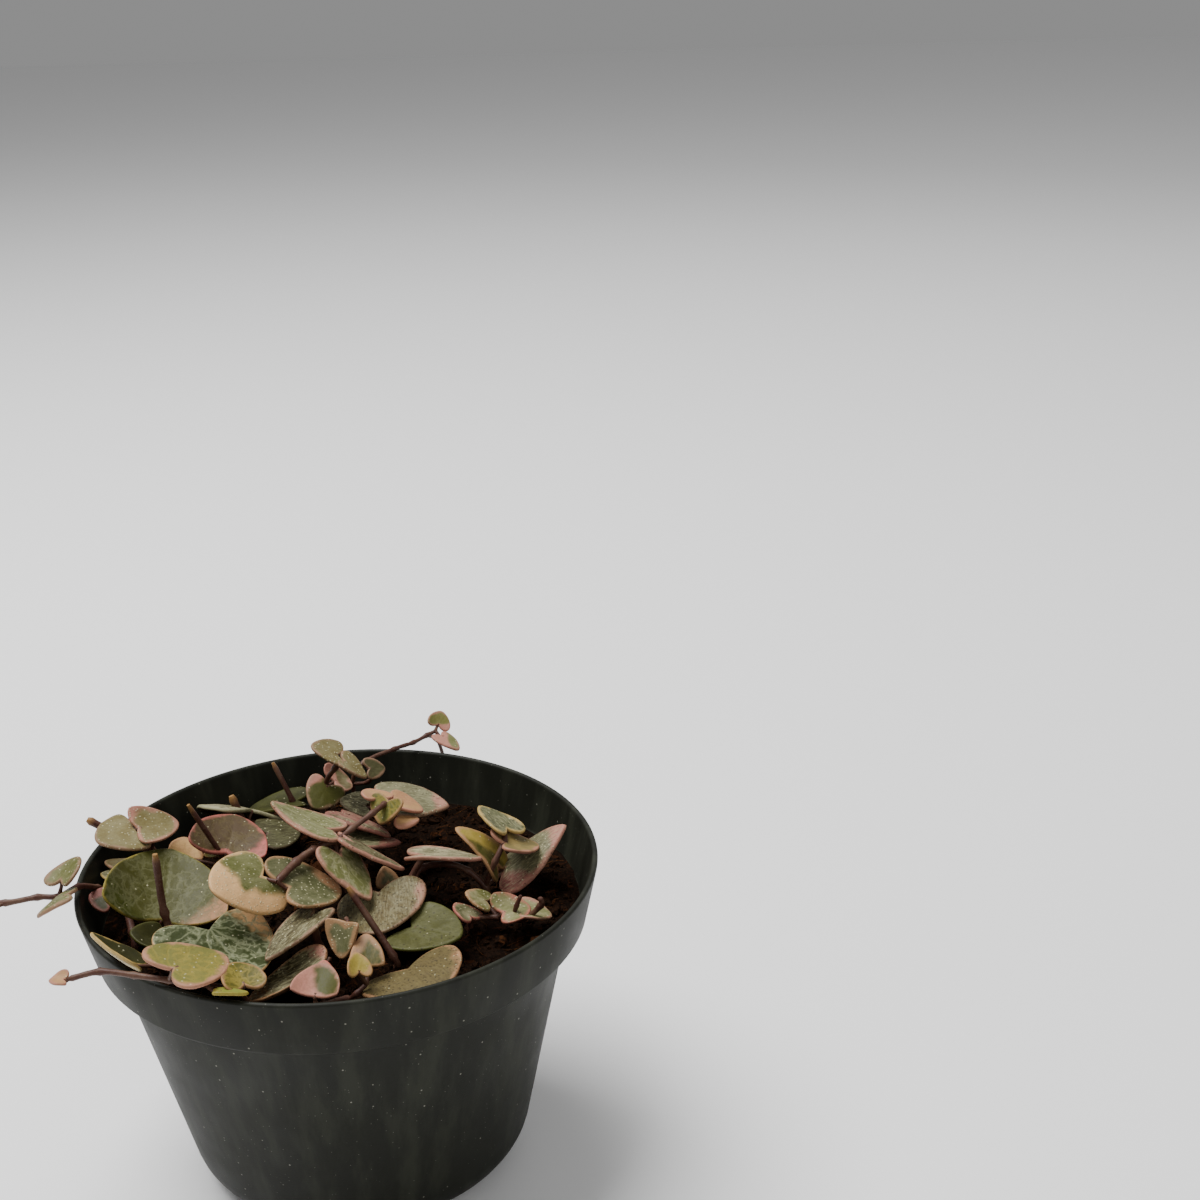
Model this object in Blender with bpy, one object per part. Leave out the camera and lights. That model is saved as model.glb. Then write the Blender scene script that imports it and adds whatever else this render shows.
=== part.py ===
"""Potted string of hearts: a turned plastic nursery pot filled with soil, and leafy cuttings
rooted in it.  Each cutting is one solid: its stems, its leaf stalks and its heart-shaped leaves.

Metres, +Z up, origin at the centre of the pot's underside.  Places of plant parts are given in
millimetres as (x, y, height over the soil), with x to the right and y to the back."""
import math

import bmesh
import bpy
from mathutils import Matrix, Vector

for old in list(bpy.data.objects):
    bpy.data.objects.remove(old, do_unlink=True)

MM = 0.001
GAP = 0.3 * MM                      # clearance between pieces that touch

# Pot
RIM_RADIUS = 55.0 * MM              # outer edge of the rim band, at the top
POT_HEIGHT = 72.0 * MM
BAND_HEIGHT = 13.2 * MM             # the stepped band under the lip
BAND_FOOT_RADIUS = 52.4 * MM
WALL_TOP_RADIUS = 48.6 * MM         # outer wall, just under the band
BASE_RADIUS = 36.0 * MM             # outer wall carried down to the ground
BASE_CORNER = 11.0 * MM             # rounding between wall and underside
WALL = 1.3 * MM
LIP_ROUND = 0.6 * MM
FLOOR = 2.4 * MM
TURN_STEPS = 40
DRAIN_RADIUS = 4.0 * MM
DRAIN_CIRCLE = 17.0 * MM
DRAIN_COUNT = 5
DRAIN_SIDES = 12
CORNER_STEPS = 4

# Soil
SOIL_BELOW_RIM = 11.0 * MM
SOIL_TOP = POT_HEIGHT - SOIL_BELOW_RIM
SOIL_WAVE = 0.35 * MM               # half the height from hollow to crest
WAVE_X = 6.1 * MM                   # the waves' widths, one way and the other
WAVE_Y = 7.3 * MM
SOIL_RINGS = 3
ROOT_DEPTH = 6.0 * MM
ROOT_GAP = 0.6 * MM                 # between a stem and its hole, before the hole is faceted
HOLE_SIDES = 8

# Plant
STEM_SIDES = 5
STALK_RADIUS = 0.45 * MM            # leaf stalks
BLADE_THICK = 0.8 * MM
OUTLINE_POINTS = 14
LOBE_POWER = 2.0                    # shape of the lobes beside the notch
BLADE_CENTRE = 0.33                 # centre of the blade, as a share of notch to tip
STALK_SINK = 0.10                   # how far a stalk runs into its blade, as a share of length
STALK_BEND = 0.3                    # where a stalk bends, as a share of notch to stem
STALK_SAG = 0.2 * MM
SHORT_STALK = 0.2 * MM              # under this length a stalk is drawn out behind its notch


def mesh_object(name, build, material):
    """A new object whose mesh the function build(bm) fills."""
    mesh = bpy.data.meshes.new(name)
    bm = bmesh.new()
    build(bm)
    bmesh.ops.recalc_face_normals(bm, faces=bm.faces)
    bm.to_mesh(mesh)
    bm.free()
    thing = bpy.data.objects.new(name, mesh)
    bpy.context.scene.collection.objects.link(thing)
    if material:
        mesh.materials.append(material)
    return thing


def finish(name, colour, roughness):
    """A plain Principled material."""
    material = bpy.data.materials.new(name)
    material.use_nodes = True
    shader = material.node_tree.nodes["Principled BSDF"]
    shader.inputs["Base Color"].default_value = (*colour, 1.0)
    shader.inputs["Roughness"].default_value = roughness
    shader.inputs["Metallic"].default_value = 0.0
    return material


def applied_boolean(thing, operation, other=None, group=None, solver="EXACT"):
    """Run one Boolean on an object, keep its result as the object's mesh, drop the tools."""
    modifier = thing.modifiers.new("cut", "BOOLEAN")
    modifier.operation = operation
    modifier.solver = solver
    if group:
        modifier.operand_type = "COLLECTION"
        modifier.collection = group
    else:
        modifier.object = other
    bpy.context.view_layer.update()
    graph = bpy.context.evaluated_depsgraph_get()
    result = bpy.data.meshes.new_from_object(thing.evaluated_get(graph))
    thing.modifiers.remove(modifier)
    thing.data = result
    tools = list(group.objects) if group else [other]
    for tool in tools:
        bpy.data.objects.remove(tool, do_unlink=True)
    if group:
        bpy.data.collections.remove(group)


def gather(tools, name):
    """Move objects out of the scene's own collection into a new one."""
    group = bpy.data.collections.new(name)
    bpy.context.scene.collection.children.link(group)
    for tool in tools:
        bpy.context.scene.collection.objects.unlink(tool)
        group.objects.link(tool)
        tool.hide_render = True
        tool.display_type = "WIRE"
    return group


def turn(bm, profile, steps, lift=None):
    """Turn a closed profile of (radius, z) round the Z axis; it starts and ends on the axis."""
    rings = []
    for radius, z in profile:
        if radius == 0:
            rings.append([bm.verts.new((0, 0, z + (lift(0, 0, z) if lift else 0)))])
            continue
        ring = []
        for step in range(steps):
            angle = 2 * math.pi * step / steps
            x, y = radius * math.cos(angle), radius * math.sin(angle)
            ring.append(bm.verts.new((x, y, z + (lift(x, y, z) if lift else 0))))
        rings.append(ring)
    for below, above in zip(rings, rings[1:]):
        for step in range(steps):
            after = (step + 1) % steps
            if len(below) == 1:
                bm.faces.new((below[0], above[after], above[step]))
            elif len(above) == 1:
                bm.faces.new((below[step], below[after], above[0]))
            else:
                bm.faces.new((below[step], below[after], above[after], above[step]))


def arc(centre, radius, start, end, count):
    """Points on a round corner of a profile, angles in degrees."""
    points = []
    for step in range(count + 1):
        angle = math.radians(start + (end - start) * step / count)
        points.append((centre[0] + radius * math.cos(angle), centre[1] + radius * math.sin(angle)))
    return points


BAND_FOOT = POT_HEIGHT - BAND_HEIGHT
LEDGE = BAND_FOOT + WALL            # the band's ledge, inside the pot
WALL_SLOPE = (WALL_TOP_RADIUS - BASE_RADIUS) / BAND_FOOT
WALL_LEAN = math.degrees(math.atan(WALL_SLOPE))


def inner_radius(z):
    """Radius of the inside of the pot at height z."""
    if z > LEDGE:
        share = (z - BAND_FOOT) / BAND_HEIGHT
        return BAND_FOOT_RADIUS - WALL + share * (RIM_RADIUS - BAND_FOOT_RADIUS)
    return BASE_RADIUS + WALL_SLOPE * z - WALL


def inside_corner(gap):
    """Profile of the inside from the floor's edge up to the soil, held off by gap."""
    corner = BASE_CORNER - WALL
    floor = FLOOR + gap
    centre_z = floor + corner
    centre_x = inner_radius(centre_z) - gap - corner / math.cos(math.radians(WALL_LEAN))
    return arc((centre_x, centre_z), corner, -90, -WALL_LEAN, CORNER_STEPS)


def make_pot(material):
    """The turned pot: tapered wall, stepped band, rounded lip, drained floor."""
    centre_z = BASE_CORNER
    centre_x = (BASE_RADIUS + WALL_SLOPE * centre_z
                - BASE_CORNER / math.cos(math.radians(WALL_LEAN)))
    outside = [(0, 0)] + arc((centre_x, centre_z), BASE_CORNER, -90, -WALL_LEAN, CORNER_STEPS)
    outside += [(WALL_TOP_RADIUS, BAND_FOOT), (BAND_FOOT_RADIUS, BAND_FOOT)]
    lip = arc((RIM_RADIUS - LIP_ROUND, POT_HEIGHT - LIP_ROUND), LIP_ROUND, 0, 90, 2)
    lip += arc((RIM_RADIUS - WALL + LIP_ROUND, POT_HEIGHT - LIP_ROUND), LIP_ROUND, 90, 180, 2)
    ledge = [(BAND_FOOT_RADIUS - WALL, LEDGE), (WALL_TOP_RADIUS - WALL, LEDGE)]
    inside = list(reversed(inside_corner(0)))
    profile = outside + lip + ledge + inside + [(0, FLOOR)]
    pot = mesh_object("pot", lambda bm: turn(bm, profile, TURN_STEPS), material)
    drains = []
    for number in range(DRAIN_COUNT):
        angle = 2 * math.pi * number / DRAIN_COUNT
        spot = Matrix.Translation((DRAIN_CIRCLE * math.cos(angle),
                                   DRAIN_CIRCLE * math.sin(angle), FLOOR / 2))

        def build(bm):
            bmesh.ops.create_cone(bm, cap_ends=True, segments=DRAIN_SIDES, radius1=DRAIN_RADIUS,
                                  radius2=DRAIN_RADIUS, depth=FLOOR * 3, matrix=spot)
        drains.append(mesh_object("drain", build, None))
    applied_boolean(pot, "DIFFERENCE", group=gather(drains, "drains"))
    return pot


def soil_wave(x, y, z):
    """Low, uneven surface of the soil; its flanks and underside stay as turned."""
    if z < SOIL_TOP:
        return 0.0
    edge = max(0.0, 1.0 - math.hypot(x, y) / (WALL_TOP_RADIUS - WALL - GAP))
    wave = math.sin(x / WAVE_X + 0.7) * math.cos(y / WAVE_Y)
    return SOIL_WAVE * (wave - 1.0) * min(1.0, 6 * edge)


def make_soil(material, roots):
    """The soil plug, with a plain hole for every root."""
    top_radius = BAND_FOOT_RADIUS - WALL - GAP
    profile = [(0, FLOOR + GAP)] + inside_corner(GAP)
    profile += [(WALL_TOP_RADIUS - WALL - GAP, LEDGE + GAP), (top_radius, LEDGE + GAP)]
    for ring in range(SOIL_RINGS):
        profile.append((top_radius * (1 - ring / (SOIL_RINGS + 0.5)), SOIL_TOP))
    profile.append((0, SOIL_TOP))
    soil = mesh_object("soil", lambda bm: turn(bm, profile, TURN_STEPS, soil_wave), material)
    holes = []
    for (x, y), radius in roots:
        depth = ROOT_DEPTH + GAP

        def build(bm):
            spot = Matrix.Translation((x, y, SOIL_TOP))
            bmesh.ops.create_cone(bm, cap_ends=True, segments=HOLE_SIDES, radius1=radius + ROOT_GAP,
                                  radius2=radius + ROOT_GAP, depth=2 * depth, matrix=spot)
        holes.append(mesh_object("hole", build, None))
    applied_boolean(soil, "DIFFERENCE", group=gather(holes, "holes"))
    return soil


def place(point):
    """(x, y, height over the soil) in millimetres to a point in the part's frame."""
    return Vector((point[0] * MM, point[1] * MM, SOIL_TOP + point[2] * MM))


def smooth_route(points, parts=2):
    """A smooth curve through the points: a Catmull-Rom spline, parts pieces to each span."""
    if len(points) < 3:
        return list(points)
    ends = [points[0] * 2 - points[1]] + list(points) + [points[-1] * 2 - points[-2]]
    route = []
    for a, b, c, d in zip(ends, ends[1:], ends[2:], ends[3:]):
        for part in range(parts):
            t = part / parts
            route.append(0.5 * (2 * b + (c - a) * t + (2 * a - 5 * b + 4 * c - d) * t * t
                                + (3 * b - a - 3 * c + d) * t * t * t))
    return route + [points[-1]]


def tube(bm, route, radius):
    """A closed round stem along a route, its rings turned as little as possible."""
    rings = []
    side = None
    for number, point in enumerate(route):
        before = route[max(0, number - 1)]
        after = route[min(len(route) - 1, number + 1)]
        along = (after - before).normalized()
        if side is None:
            side = along.orthogonal().normalized()
        side = (side - along * side.dot(along)).normalized()
        other = along.cross(side)
        ring = []
        for step in range(STEM_SIDES):
            angle = 2 * math.pi * step / STEM_SIDES
            ring.append(bm.verts.new(point + radius * (side * math.cos(angle)
                                                       + other * math.sin(angle))))
        rings.append(ring)
    for below, above in zip(rings, rings[1:]):
        for step in range(STEM_SIDES):
            after = (step + 1) % STEM_SIDES
            bm.faces.new((below[step], below[after], above[after], above[step]))
    bm.faces.new(list(reversed(rings[0])))
    bm.faces.new(rings[-1])


def heart(share, length, width, lobe, tip):
    """Outline of a heart leaf: share runs 0 to 1 from the notch round the tip and back.
    lobe scales how far the lobes reach past the notch; tip is 1 when round, 2 when pointed."""
    angle = 2 * math.pi * share
    along = (5 - (13 * math.cos(angle) - 5 * math.cos(2 * angle)
                  - 2 * math.cos(3 * angle) - math.cos(4 * angle))) / 22
    if along < 0:
        along *= lobe
    power = LOBE_POWER if math.cos(angle) > 0 else tip
    across = math.copysign(abs(math.sin(angle)) ** power, math.sin(angle))
    return along * length, across * width / 2


class Leaf:
    """A heart leaf: notch place in mm, heading and rise of its tip and roll in degrees, then
    length from notch to tip and width in mm, cup across and bend along as shares."""

    def __init__(self, notch, heading, rise, roll, length, width, cup=0.06, bend=-0.06,
                 lobe=0.7, tip=1.3):
        self.notch = place(notch)
        self.length, self.width = length * MM, width * MM
        self.cup, self.bend = cup, bend
        self.lobe, self.tip = lobe, tip
        turned, raised, rolled = (math.radians(v) for v in (heading, rise, roll))
        self.along = Vector((math.cos(turned) * math.cos(raised),
                             math.sin(turned) * math.cos(raised), math.sin(raised)))
        level = Vector((-math.sin(turned), math.cos(turned), 0.0))
        self.across = level * math.cos(rolled) + self.along.cross(level) * math.sin(rolled)
        self.normal = self.along.cross(self.across)

    def surface(self, along, across, offset):
        """A point of the blade, offset along its normal."""
        rise = (self.cup * self.width * (2 * across / self.width) ** 2
                + self.bend * self.length * (along / self.length) ** 2)
        return (self.notch + self.along * along + self.across * across
                + self.normal * (rise + offset))

    def build(self, bm):
        """The blade as a closed solid, split into triangles alike on both faces."""
        outline = [heart(number / OUTLINE_POINTS, self.length, self.width, self.lobe, self.tip)
                   for number in range(OUTLINE_POINTS)]
        edges = []
        for offset in (BLADE_THICK / 2, -BLADE_THICK / 2):
            edge = [bm.verts.new(self.surface(a, b, offset)) for a, b in outline]
            middle = bm.verts.new(self.surface(BLADE_CENTRE * self.length, 0.0, offset))
            edges.append(edge)
            for number in range(OUTLINE_POINTS):
                after = (number + 1) % OUTLINE_POINTS
                bm.faces.new((edge[number], edge[after], middle))
        top, bottom = edges
        for number in range(OUTLINE_POINTS):
            after = (number + 1) % OUTLINE_POINTS
            bm.faces.new((top[number], bottom[number], bottom[after]))
            bm.faces.new((top[number], bottom[after], top[after]))


def make_cutting(name, material, stems, leaves):
    """One cutting as one solid: tubes for its stems, a blade and a stalk for each leaf.
    stems is a list of (radius in mm, points); a stalk runs to the nearest of those points."""
    joints = [place(point) for _, points in stems for point in points]
    joints = [joint for joint in joints if joint.z > SOIL_TOP]
    solids = []
    for radius, points in stems:
        route = smooth_route([place(point) for point in points])
        solids.append(mesh_object(name + "_stem", lambda bm: tube(bm, route, radius * MM), None))
    for leaf in leaves:
        solids.append(mesh_object(name + "_leaf", leaf.build, None))
        seat = leaf.surface(STALK_SINK * leaf.length, 0.0, 0.0)
        joint = min(joints, key=lambda spot: (spot - leaf.notch).length)
        if (joint - leaf.notch).length < SHORT_STALK:
            joint = joint - leaf.along * STALK_RADIUS
        back = leaf.notch.lerp(joint, STALK_BEND) - leaf.normal * STALK_SAG
        solids.append(mesh_object(name + "_stalk",
                                  lambda bm: tube(bm, [seat, back, joint], STALK_RADIUS), None))
    body = solids[0]
    body.name = name
    body.data.name = name
    applied_boolean(body, "UNION", group=gather(solids[1:], name + "_pieces"))
    body.data.materials.clear()
    body.data.materials.append(material)
    return body


def roots_of(cuttings):
    """Where stems enter the soil, with their radius, for the holes."""
    roots = []
    for _, stems, _ in cuttings.values():
        for radius, points in stems:
            for point in points:
                if point[2] * MM < -ROOT_DEPTH / 2:
                    roots.append(((point[0] * MM, point[1] * MM), radius * MM))
    return roots


IN = -6.0                            # height of a root's end, under the soil's surface

PLASTIC = finish("pot_plastic", (0.025, 0.03, 0.027), 0.45)
SOIL = finish("soil_peat", (0.035, 0.018, 0.010), 0.95)
GREEN = finish("leaf_green", (0.16, 0.20, 0.075), 0.5)
TAN = finish("leaf_tan", (0.27, 0.24, 0.13), 0.5)
DUSKY = finish("leaf_dusky", (0.17, 0.13, 0.09), 0.5)
CREAM = finish("leaf_cream", (0.45, 0.38, 0.24), 0.5)

# Every cutting: its finish, its stems as (radius, points), then its leaves.
CUTTINGS = {
    "cutting_left_pair": (
        TAN,
        [(0.9, [(-55, 8, 18), (-49, 8, 14), (-42, 7, 10.5), (-41, 13, 3), (-41, 14, 0),
                (-41, 14, IN)]),
         (0.6, [(-42, 4.5, 16.5), (-41, 5, 14), (-42, 7, 10.5)])],
        [Leaf((-44, 4, 17.5), 225, 4, -14, 9, 13, -0.04, -0.02),
         Leaf((-43, 3, 18), 37, -9, 27, 9.5, 10.5, 0.12, -0.02)]),
    "cutting_large_leaf": (
        GREEN,
        [(0.7, [(-36, -15.5, 5), (-36.5, -15, 0), (-36.5, -15, IN)]),
         (0.5, [(-36.5, -15, 1.6), (-39, -15.5, 1.8), (-41.5, -15, 1.4)]),
         (0.8, [(-41.5, -15, IN), (-41.5, -15, 0), (-42.5, -12.5, 2), (-45, -6, 3), (-47, 0, 3),
                (-46, 6, 5)]),
         (0.6, [(-47, 0, 3), (-50.5, -6, 9), (-52.5, -12, 12.8), (-55, -17, 13.5),
                (-59, -18, 14), (-65, -20, 14), (-69, -19, 14.2)]),
         (0.45, [(-65, -20, 14), (-67, -22, 14), (-69, -23, 14)])],
        [Leaf((-35.5, -15, 6), 93, 22, 18, 19, 25.5, 0.24, 0, 0.25),
         Leaf((-45, 6, 6.5), 174, 14, 11, 7.5, 9, 0.02, -0.02),
         Leaf((-47.5, 2.5, 6.5), 173, 12, 4, 5, 7.5),
         Leaf((-47.5, -9, 7.5), 171, 16, -25, 4.5, 6.5),
         Leaf((-54, -17, 17), 65, 26, -18, 6.5, 9, 0.1, -0.02),
         Leaf((-51.5, -22, 16.5), 189, -21, 11, 7.5, 8, -0.02, -0.2),
         Leaf((-69, -18.5, 14.2), 160, 10, 0, 4.5, 5.5),
         Leaf((-69, -23, 14), 200, -5, 0, 4.5, 5.5)]),
    "cutting_dusky": (
        DUSKY,
        [(0.6, [(-25, 8, IN), (-25, 8, 0), (-25.5, 7, 6), (-32, 5, 22.5)])],
        [Leaf((-25.5, 8, 10.5), 87, 18, 18, 12, 16.5, 0.14, -0.18),
         Leaf((-35, 7.5, 8.5), 93, 24, 30, 5.5, 8, 0.08, -0.06),
         Leaf((-28, 8, 8), 76, 40, -7, 2, 6.5, 0.1, -0.08)]),
    "cutting_back_left": (
        DUSKY,
        [(0.9, [(-24, 24, IN), (-24, 24, 0), (-25, 24.5, 6), (-27.5, 25.5, 14)]),
         (0.6, [(-14, 35, IN), (-14, 35, 0), (-16, 36, 7), (-20, 38, 16)]),
         (0.6, [(-24, 24, 3), (-19, 30, 2.2), (-14, 35, 3)])],
        [Leaf((-24, 28.5, 8.5), 144, -6, 32, 14, 23, -0.06, -0.2),
         Leaf((-20, 23.5, 5), 31, -11, 13, 8, 11.5, 0, 0),
         Leaf((-15, 36.5, 6.5), 184, -4, 6, 12, 13, 0.08, -0.1)]),
    "cutting_centre": (
        CREAM,
        [(0.8, [(-1, 4, IN), (-1, 4, 0), (-1, 0, 8), (0, -3, 17), (-4, -4, 16), (-7, -8, 15.5),
                (-10, -16, 15)]),
         (0.6, [(0, -3, 17), (3, 1, 18), (7, 6, 19), (9, 10, 19), (9.5, 14, 17.5),
                (9, 20, 14.5)])],
        [Leaf((-13, -17, 17), -127, 11, -34, 14, 16, -0.1, 0.06),
         Leaf((-8, -17.5, 14.5), 42, -19, 17, 13, 16.5, 0.1, -0.02),
         Leaf((-1.5, -0.5, 18.5), 173, 16, 11, 13.5, 14, 0.02, 0.18),
         Leaf((1, -6, 15.5), -49, -38, -29, 12, 14, -0.02, 0.06),
         Leaf((3, -3, 17), -2, -33, -19, 13, 9.5, -0.02, 0.02),
         Leaf((7.5, 13, 19), 132, 8, 18, 4.5, 8, 0.04, -0.04),
         Leaf((10, 10.5, 19.5), -121, -47, 1, 5.5, 8.5, 0.08, -0.02),
         Leaf((11, 14, 17.5), 6, -23, 1, 6.5, 8, 0.08, -0.04),
         Leaf((11.5, 10.5, 15.5), 16, -16, 0, 5, 7, -0.14, -0.02),
         Leaf((8, 21, 15), 2, -3, 4, 14, 16, -0.06, -0.16)]),
    "cutting_centre_back": (
        CREAM,
        [(0.6, [(-2, 12, IN), (-2, 12, 0), (-2, 13, 7), (-3, 15, 12)])],
        [Leaf((-1, 17, 13), -28, -8, -24, 12.5, 11, -0.06, -0.08),
         Leaf((2, 10, 10), 7, -6, -5, 10, 9.5, 0.06, -0.02)]),
    "cutting_back": (
        TAN,
        [(0.6, [(-7, 31, IN), (-7, 31, 0), (-7, 31, 13), (-4, 28.5, 19), (-3, 28.5, 21)]),
         (0.5, [(-7, 31, 2), (-1, 29, 4), (4, 29, 8)])],
        [Leaf((-3.5, 29.5, 21.5), 193, 30, -12, 6.5, 9, 0.08, 0),
         Leaf((-2, 28.5, 20.5), -2, -37, 0, 6.5, 8, 0.08, -0.06),
         Leaf((-6.5, 30.5, 13.5), -113, -23, -32, 7, 9, -0.02, -0.04),
         Leaf((-5.5, 33.5, 13), 54, -7, 35, 5, 8.5, 0.18, -0.1),
         Leaf((2, 28.5, 9), 187, 18, -11, 6, 9, 0.04, 0.02)]),
    "runner_back": (
        GREEN,
        [(0.5, [(0, 38, IN), (0, 38, 0), (-2, 38, 10), (1, 39, 15), (7, 48, 14), (11, 53, 13.2),
                (14, 56, 13.6), (16, 57, 14.2)]),
         (0.45, [(-2, 38, 10), (2, 36, 11.5), (4.5, 33, 16)]),
         (0.45, [(14, 56, 13.6), (16, 59, 11), (17, 61, 6)])],
        [Leaf((3, 31.5, 17), 38, -14, 45, 4.5, 5.5, 0.02, -0.04),
         Leaf((16.5, 58.5, 15), 72, 37, 39, 4, 6, 0.08, -0.06),
         Leaf((17.5, 55.5, 13.5), -39, -20, -9, 6, 6, -0.02, -0.02),
         Leaf((17, 61, 5), 75, -50, 0, 4, 5)]),
    "cutting_front_left": (
        GREEN,
        [(0.8, [(-24, -25, IN), (-24, -25, 0), (-30, -23.5, 5), (-32.5, -22, 12),
                (-33, -21, 25)]),
         (0.5, [(-24, -25, 0.9), (-23.5, -26, 8)]),
         (0.5, [(-24, -25, 1.5), (-29, -33, 4), (-31.5, -37, 9)])],
        [Leaf((-23, -26, 10), -53, -18, -8, 17, 24.5, 0, 0.18),
         Leaf((-34.5, -25, 7), 196, 33, -11, 5.5, 8.5, 0.18, 0.04),
         Leaf((-35, -39.5, 11), 172, 33, 25, 10, 9.5, 0.14, 0.12)]),
    "runner_front": (
        GREEN,
        [(0.6, [(-13, -41, IN), (-13, -41, 0), (-14, -44, 7), (-19.5, -47.5, 11.3),
                (-26, -47.5, 12.4), (-33, -46, 12.7), (-40, -44, 12.4), (-46, -45, 11.5)])],
        [Leaf((-24.5, -49.5, 16), 49, -11, 8, 12.5, 16, 0.04, -0.06),
         Leaf((-11.5, -49.5, 12), 115, 14, 8, 7.5, 8.5, 0.16, -0.12),
         Leaf((-15.5, -53, 13), 5, -4, -16, 5.5, 3.5, 0.06, -0.04),
         Leaf((-46.5, -45.5, 11.5), 184, 6, -8, 3, 4.5, 0.2, -0.06)]),
    "cutting_front_middle": (
        TAN,
        [(0.9, [(-1, -25, IN), (-1, -25, 0), (-1.5, -25.5, 5.5), (-2, -26, 11)]),
         (0.5, [(-1, -25, 2.5), (1, -29, 4), (1.5, -31, 6)]),
         (0.5, [(-1, -25, 2.5), (3, -26, 7), (5, -27.5, 13)])],
        [Leaf((-2.5, -23, 11), -124, -8, 12, 14.5, 10, 0.04, -0.06),
         Leaf((-0.5, -34.5, 5.5), -166, -27, 7, 14.5, 12.5, 0.22, 0.16),
         Leaf((5.5, -29.5, 13.5), -109, -58, 16, 7.5, 8.5, 0.18, -0.02)]),
    "cutting_front": (
        CREAM,
        [(0.6, [(6, -41, IN), (6, -41, 0), (6, -41, 3), (2, -45, 4.5), (1, -47, 6)]),
         (0.5, [(6, -41, 2.5), (8, -41.5, 4.5), (10, -40.5, 6)])],
        [Leaf((1, -47, 7.5), 81, 20, 4, 8, 9.5, 0.2, 0.04),
         Leaf((10, -37.5, 8), 98, 38, -1, 7.5, 7, 0.08, -0.2),
         Leaf((9, -42, 9.5), 102, 39, 15, 4.5, 5, 0.18, -0.12),
         Leaf((2, -41.5, 9), 90, 40, 0, 3, 4)]),
    "cutting_speckled": (
        TAN,
        [(0.7, [(14, -26, IN), (14, -26, 0), (13.5, -26.5, 3.5), (5, -22, 17)]),
         (0.6, [(8, -8, IN), (8, -8, 0), (9, -8.5, 6)]),
         (0.5, [(8, -8, 1.2), (11, -17, 1.2), (14, -26, 1.2)])],
        [Leaf((9, -8, 7.5), -80, -16, 14, 13, 19.5, -0.08, 0.12),
         Leaf((16.5, -17.5, 4.5), -28, 4, 8, 12, 16, 0.04, 0),
         Leaf((10, -1, 5.5), 113, 57, 21, 4, 6, 0, -0.04)]),
    "leaf_speckled_front": (
        TAN,
        [(0.6, [(18, -31, IN), (18, -31, 0), (18.8, -32.5, 4)])],
        [Leaf((17.5, -35, 5.5), -58, 11, 8, 12.5, 21.5, 0, -0.1)]),
    "cutting_right": (
        CREAM,
        [(0.7, [(14.5, 0, IN), (14.5, 0, 0), (15, 0.5, 6), (17.5, 1, 10.5)]),
         (0.7, [(15, 0.5, 5), (17, 4, 6.5), (23, 2.5, 8), (27, 2, 6.5), (30.5, 1.2, 3),
                (31, 1, 0), (31, 1, IN)]),
         (0.6, [(30.5, 1.2, 3), (33, 0.5, 9.5), (35, 3, 13), (35, 5, 14)])],
        [Leaf((17, 0, 11.5), 1, -1, -16, 13.5, 11, 0.08, -0.06),
         Leaf((33, 4, 6.5), 167, 69, -4, 11, 9, 0.08, -0.48),
         Leaf((35.5, 5.5, 14.5), 130, 12, 18, 10, 9, 0.1, -0.02),
         Leaf((35, 2, 13), 35, -27, 9, 9, 9.5, 0.1, 0.12),
         Leaf((35, 5.5, 5), 14, 35, 7, 16, 12.5, -0.18, -0.06)]),
    "cutting_young": (
        CREAM,
        [(0.6, [(28, -11.5, IN), (28, -11.5, 0), (29, -12, 3), (34, -12.2, 3.4), (39, -13, 3.2),
                (43, -14, 7), (43, -14, 9)]),
         (0.45, [(37, -12.5, 3.3), (38, -13, 6.5), (39, -13, 9)])],
        [Leaf((28.5, -13.5, 4), 143, 19, 17, 5, 7, 0.08, 0.08),
         Leaf((31.5, -9.5, 5.5), 181, 29, -4, 5, 7, 0.02, 0),
         Leaf((35, -13.5, 5), 29, 0, 17, 6.5, 9, 0.2, -0.04),
         Leaf((39.5, -12, 4.5), 5, -10, 4, 6, 7.5, 0.14, -0.1)]),
}

make_pot(PLASTIC)
make_soil(SOIL, roots_of(CUTTINGS))
for cutting_name, (cutting_finish, cutting_stems, cutting_leaves) in CUTTINGS.items():
    make_cutting(cutting_name, cutting_finish, cutting_stems, cutting_leaves)
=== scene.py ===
# %% [markdown]
# # A potted string of hearts
# The real object is a dark nursery pot, turned in one piece, with a plug of peat in it and a
# crowd of short cuttings: stems like thin wire and thick heart-shaped leaves in green, tan,
# cream and pink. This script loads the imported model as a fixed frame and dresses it: every
# solid gets a finer piece that stands where it stands.

# %% Load the frame
import math

import bmesh
import bpy
import numpy as np
from mathutils import Matrix, Vector, noise


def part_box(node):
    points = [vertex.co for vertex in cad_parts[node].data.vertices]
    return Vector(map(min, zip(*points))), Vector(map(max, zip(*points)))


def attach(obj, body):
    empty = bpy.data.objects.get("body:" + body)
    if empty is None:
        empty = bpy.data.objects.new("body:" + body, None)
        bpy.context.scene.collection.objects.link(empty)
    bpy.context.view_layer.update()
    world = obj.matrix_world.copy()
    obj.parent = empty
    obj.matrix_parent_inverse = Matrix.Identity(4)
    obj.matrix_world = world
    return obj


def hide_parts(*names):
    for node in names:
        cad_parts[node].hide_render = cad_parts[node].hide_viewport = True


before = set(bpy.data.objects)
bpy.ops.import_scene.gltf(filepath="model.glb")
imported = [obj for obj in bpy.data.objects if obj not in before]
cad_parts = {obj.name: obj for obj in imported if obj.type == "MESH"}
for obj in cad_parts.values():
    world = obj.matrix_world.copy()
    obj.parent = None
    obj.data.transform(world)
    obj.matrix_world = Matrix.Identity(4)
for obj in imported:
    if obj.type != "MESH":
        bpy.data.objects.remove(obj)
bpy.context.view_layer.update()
print("the packed model has", len(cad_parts), "nodes")

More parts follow.
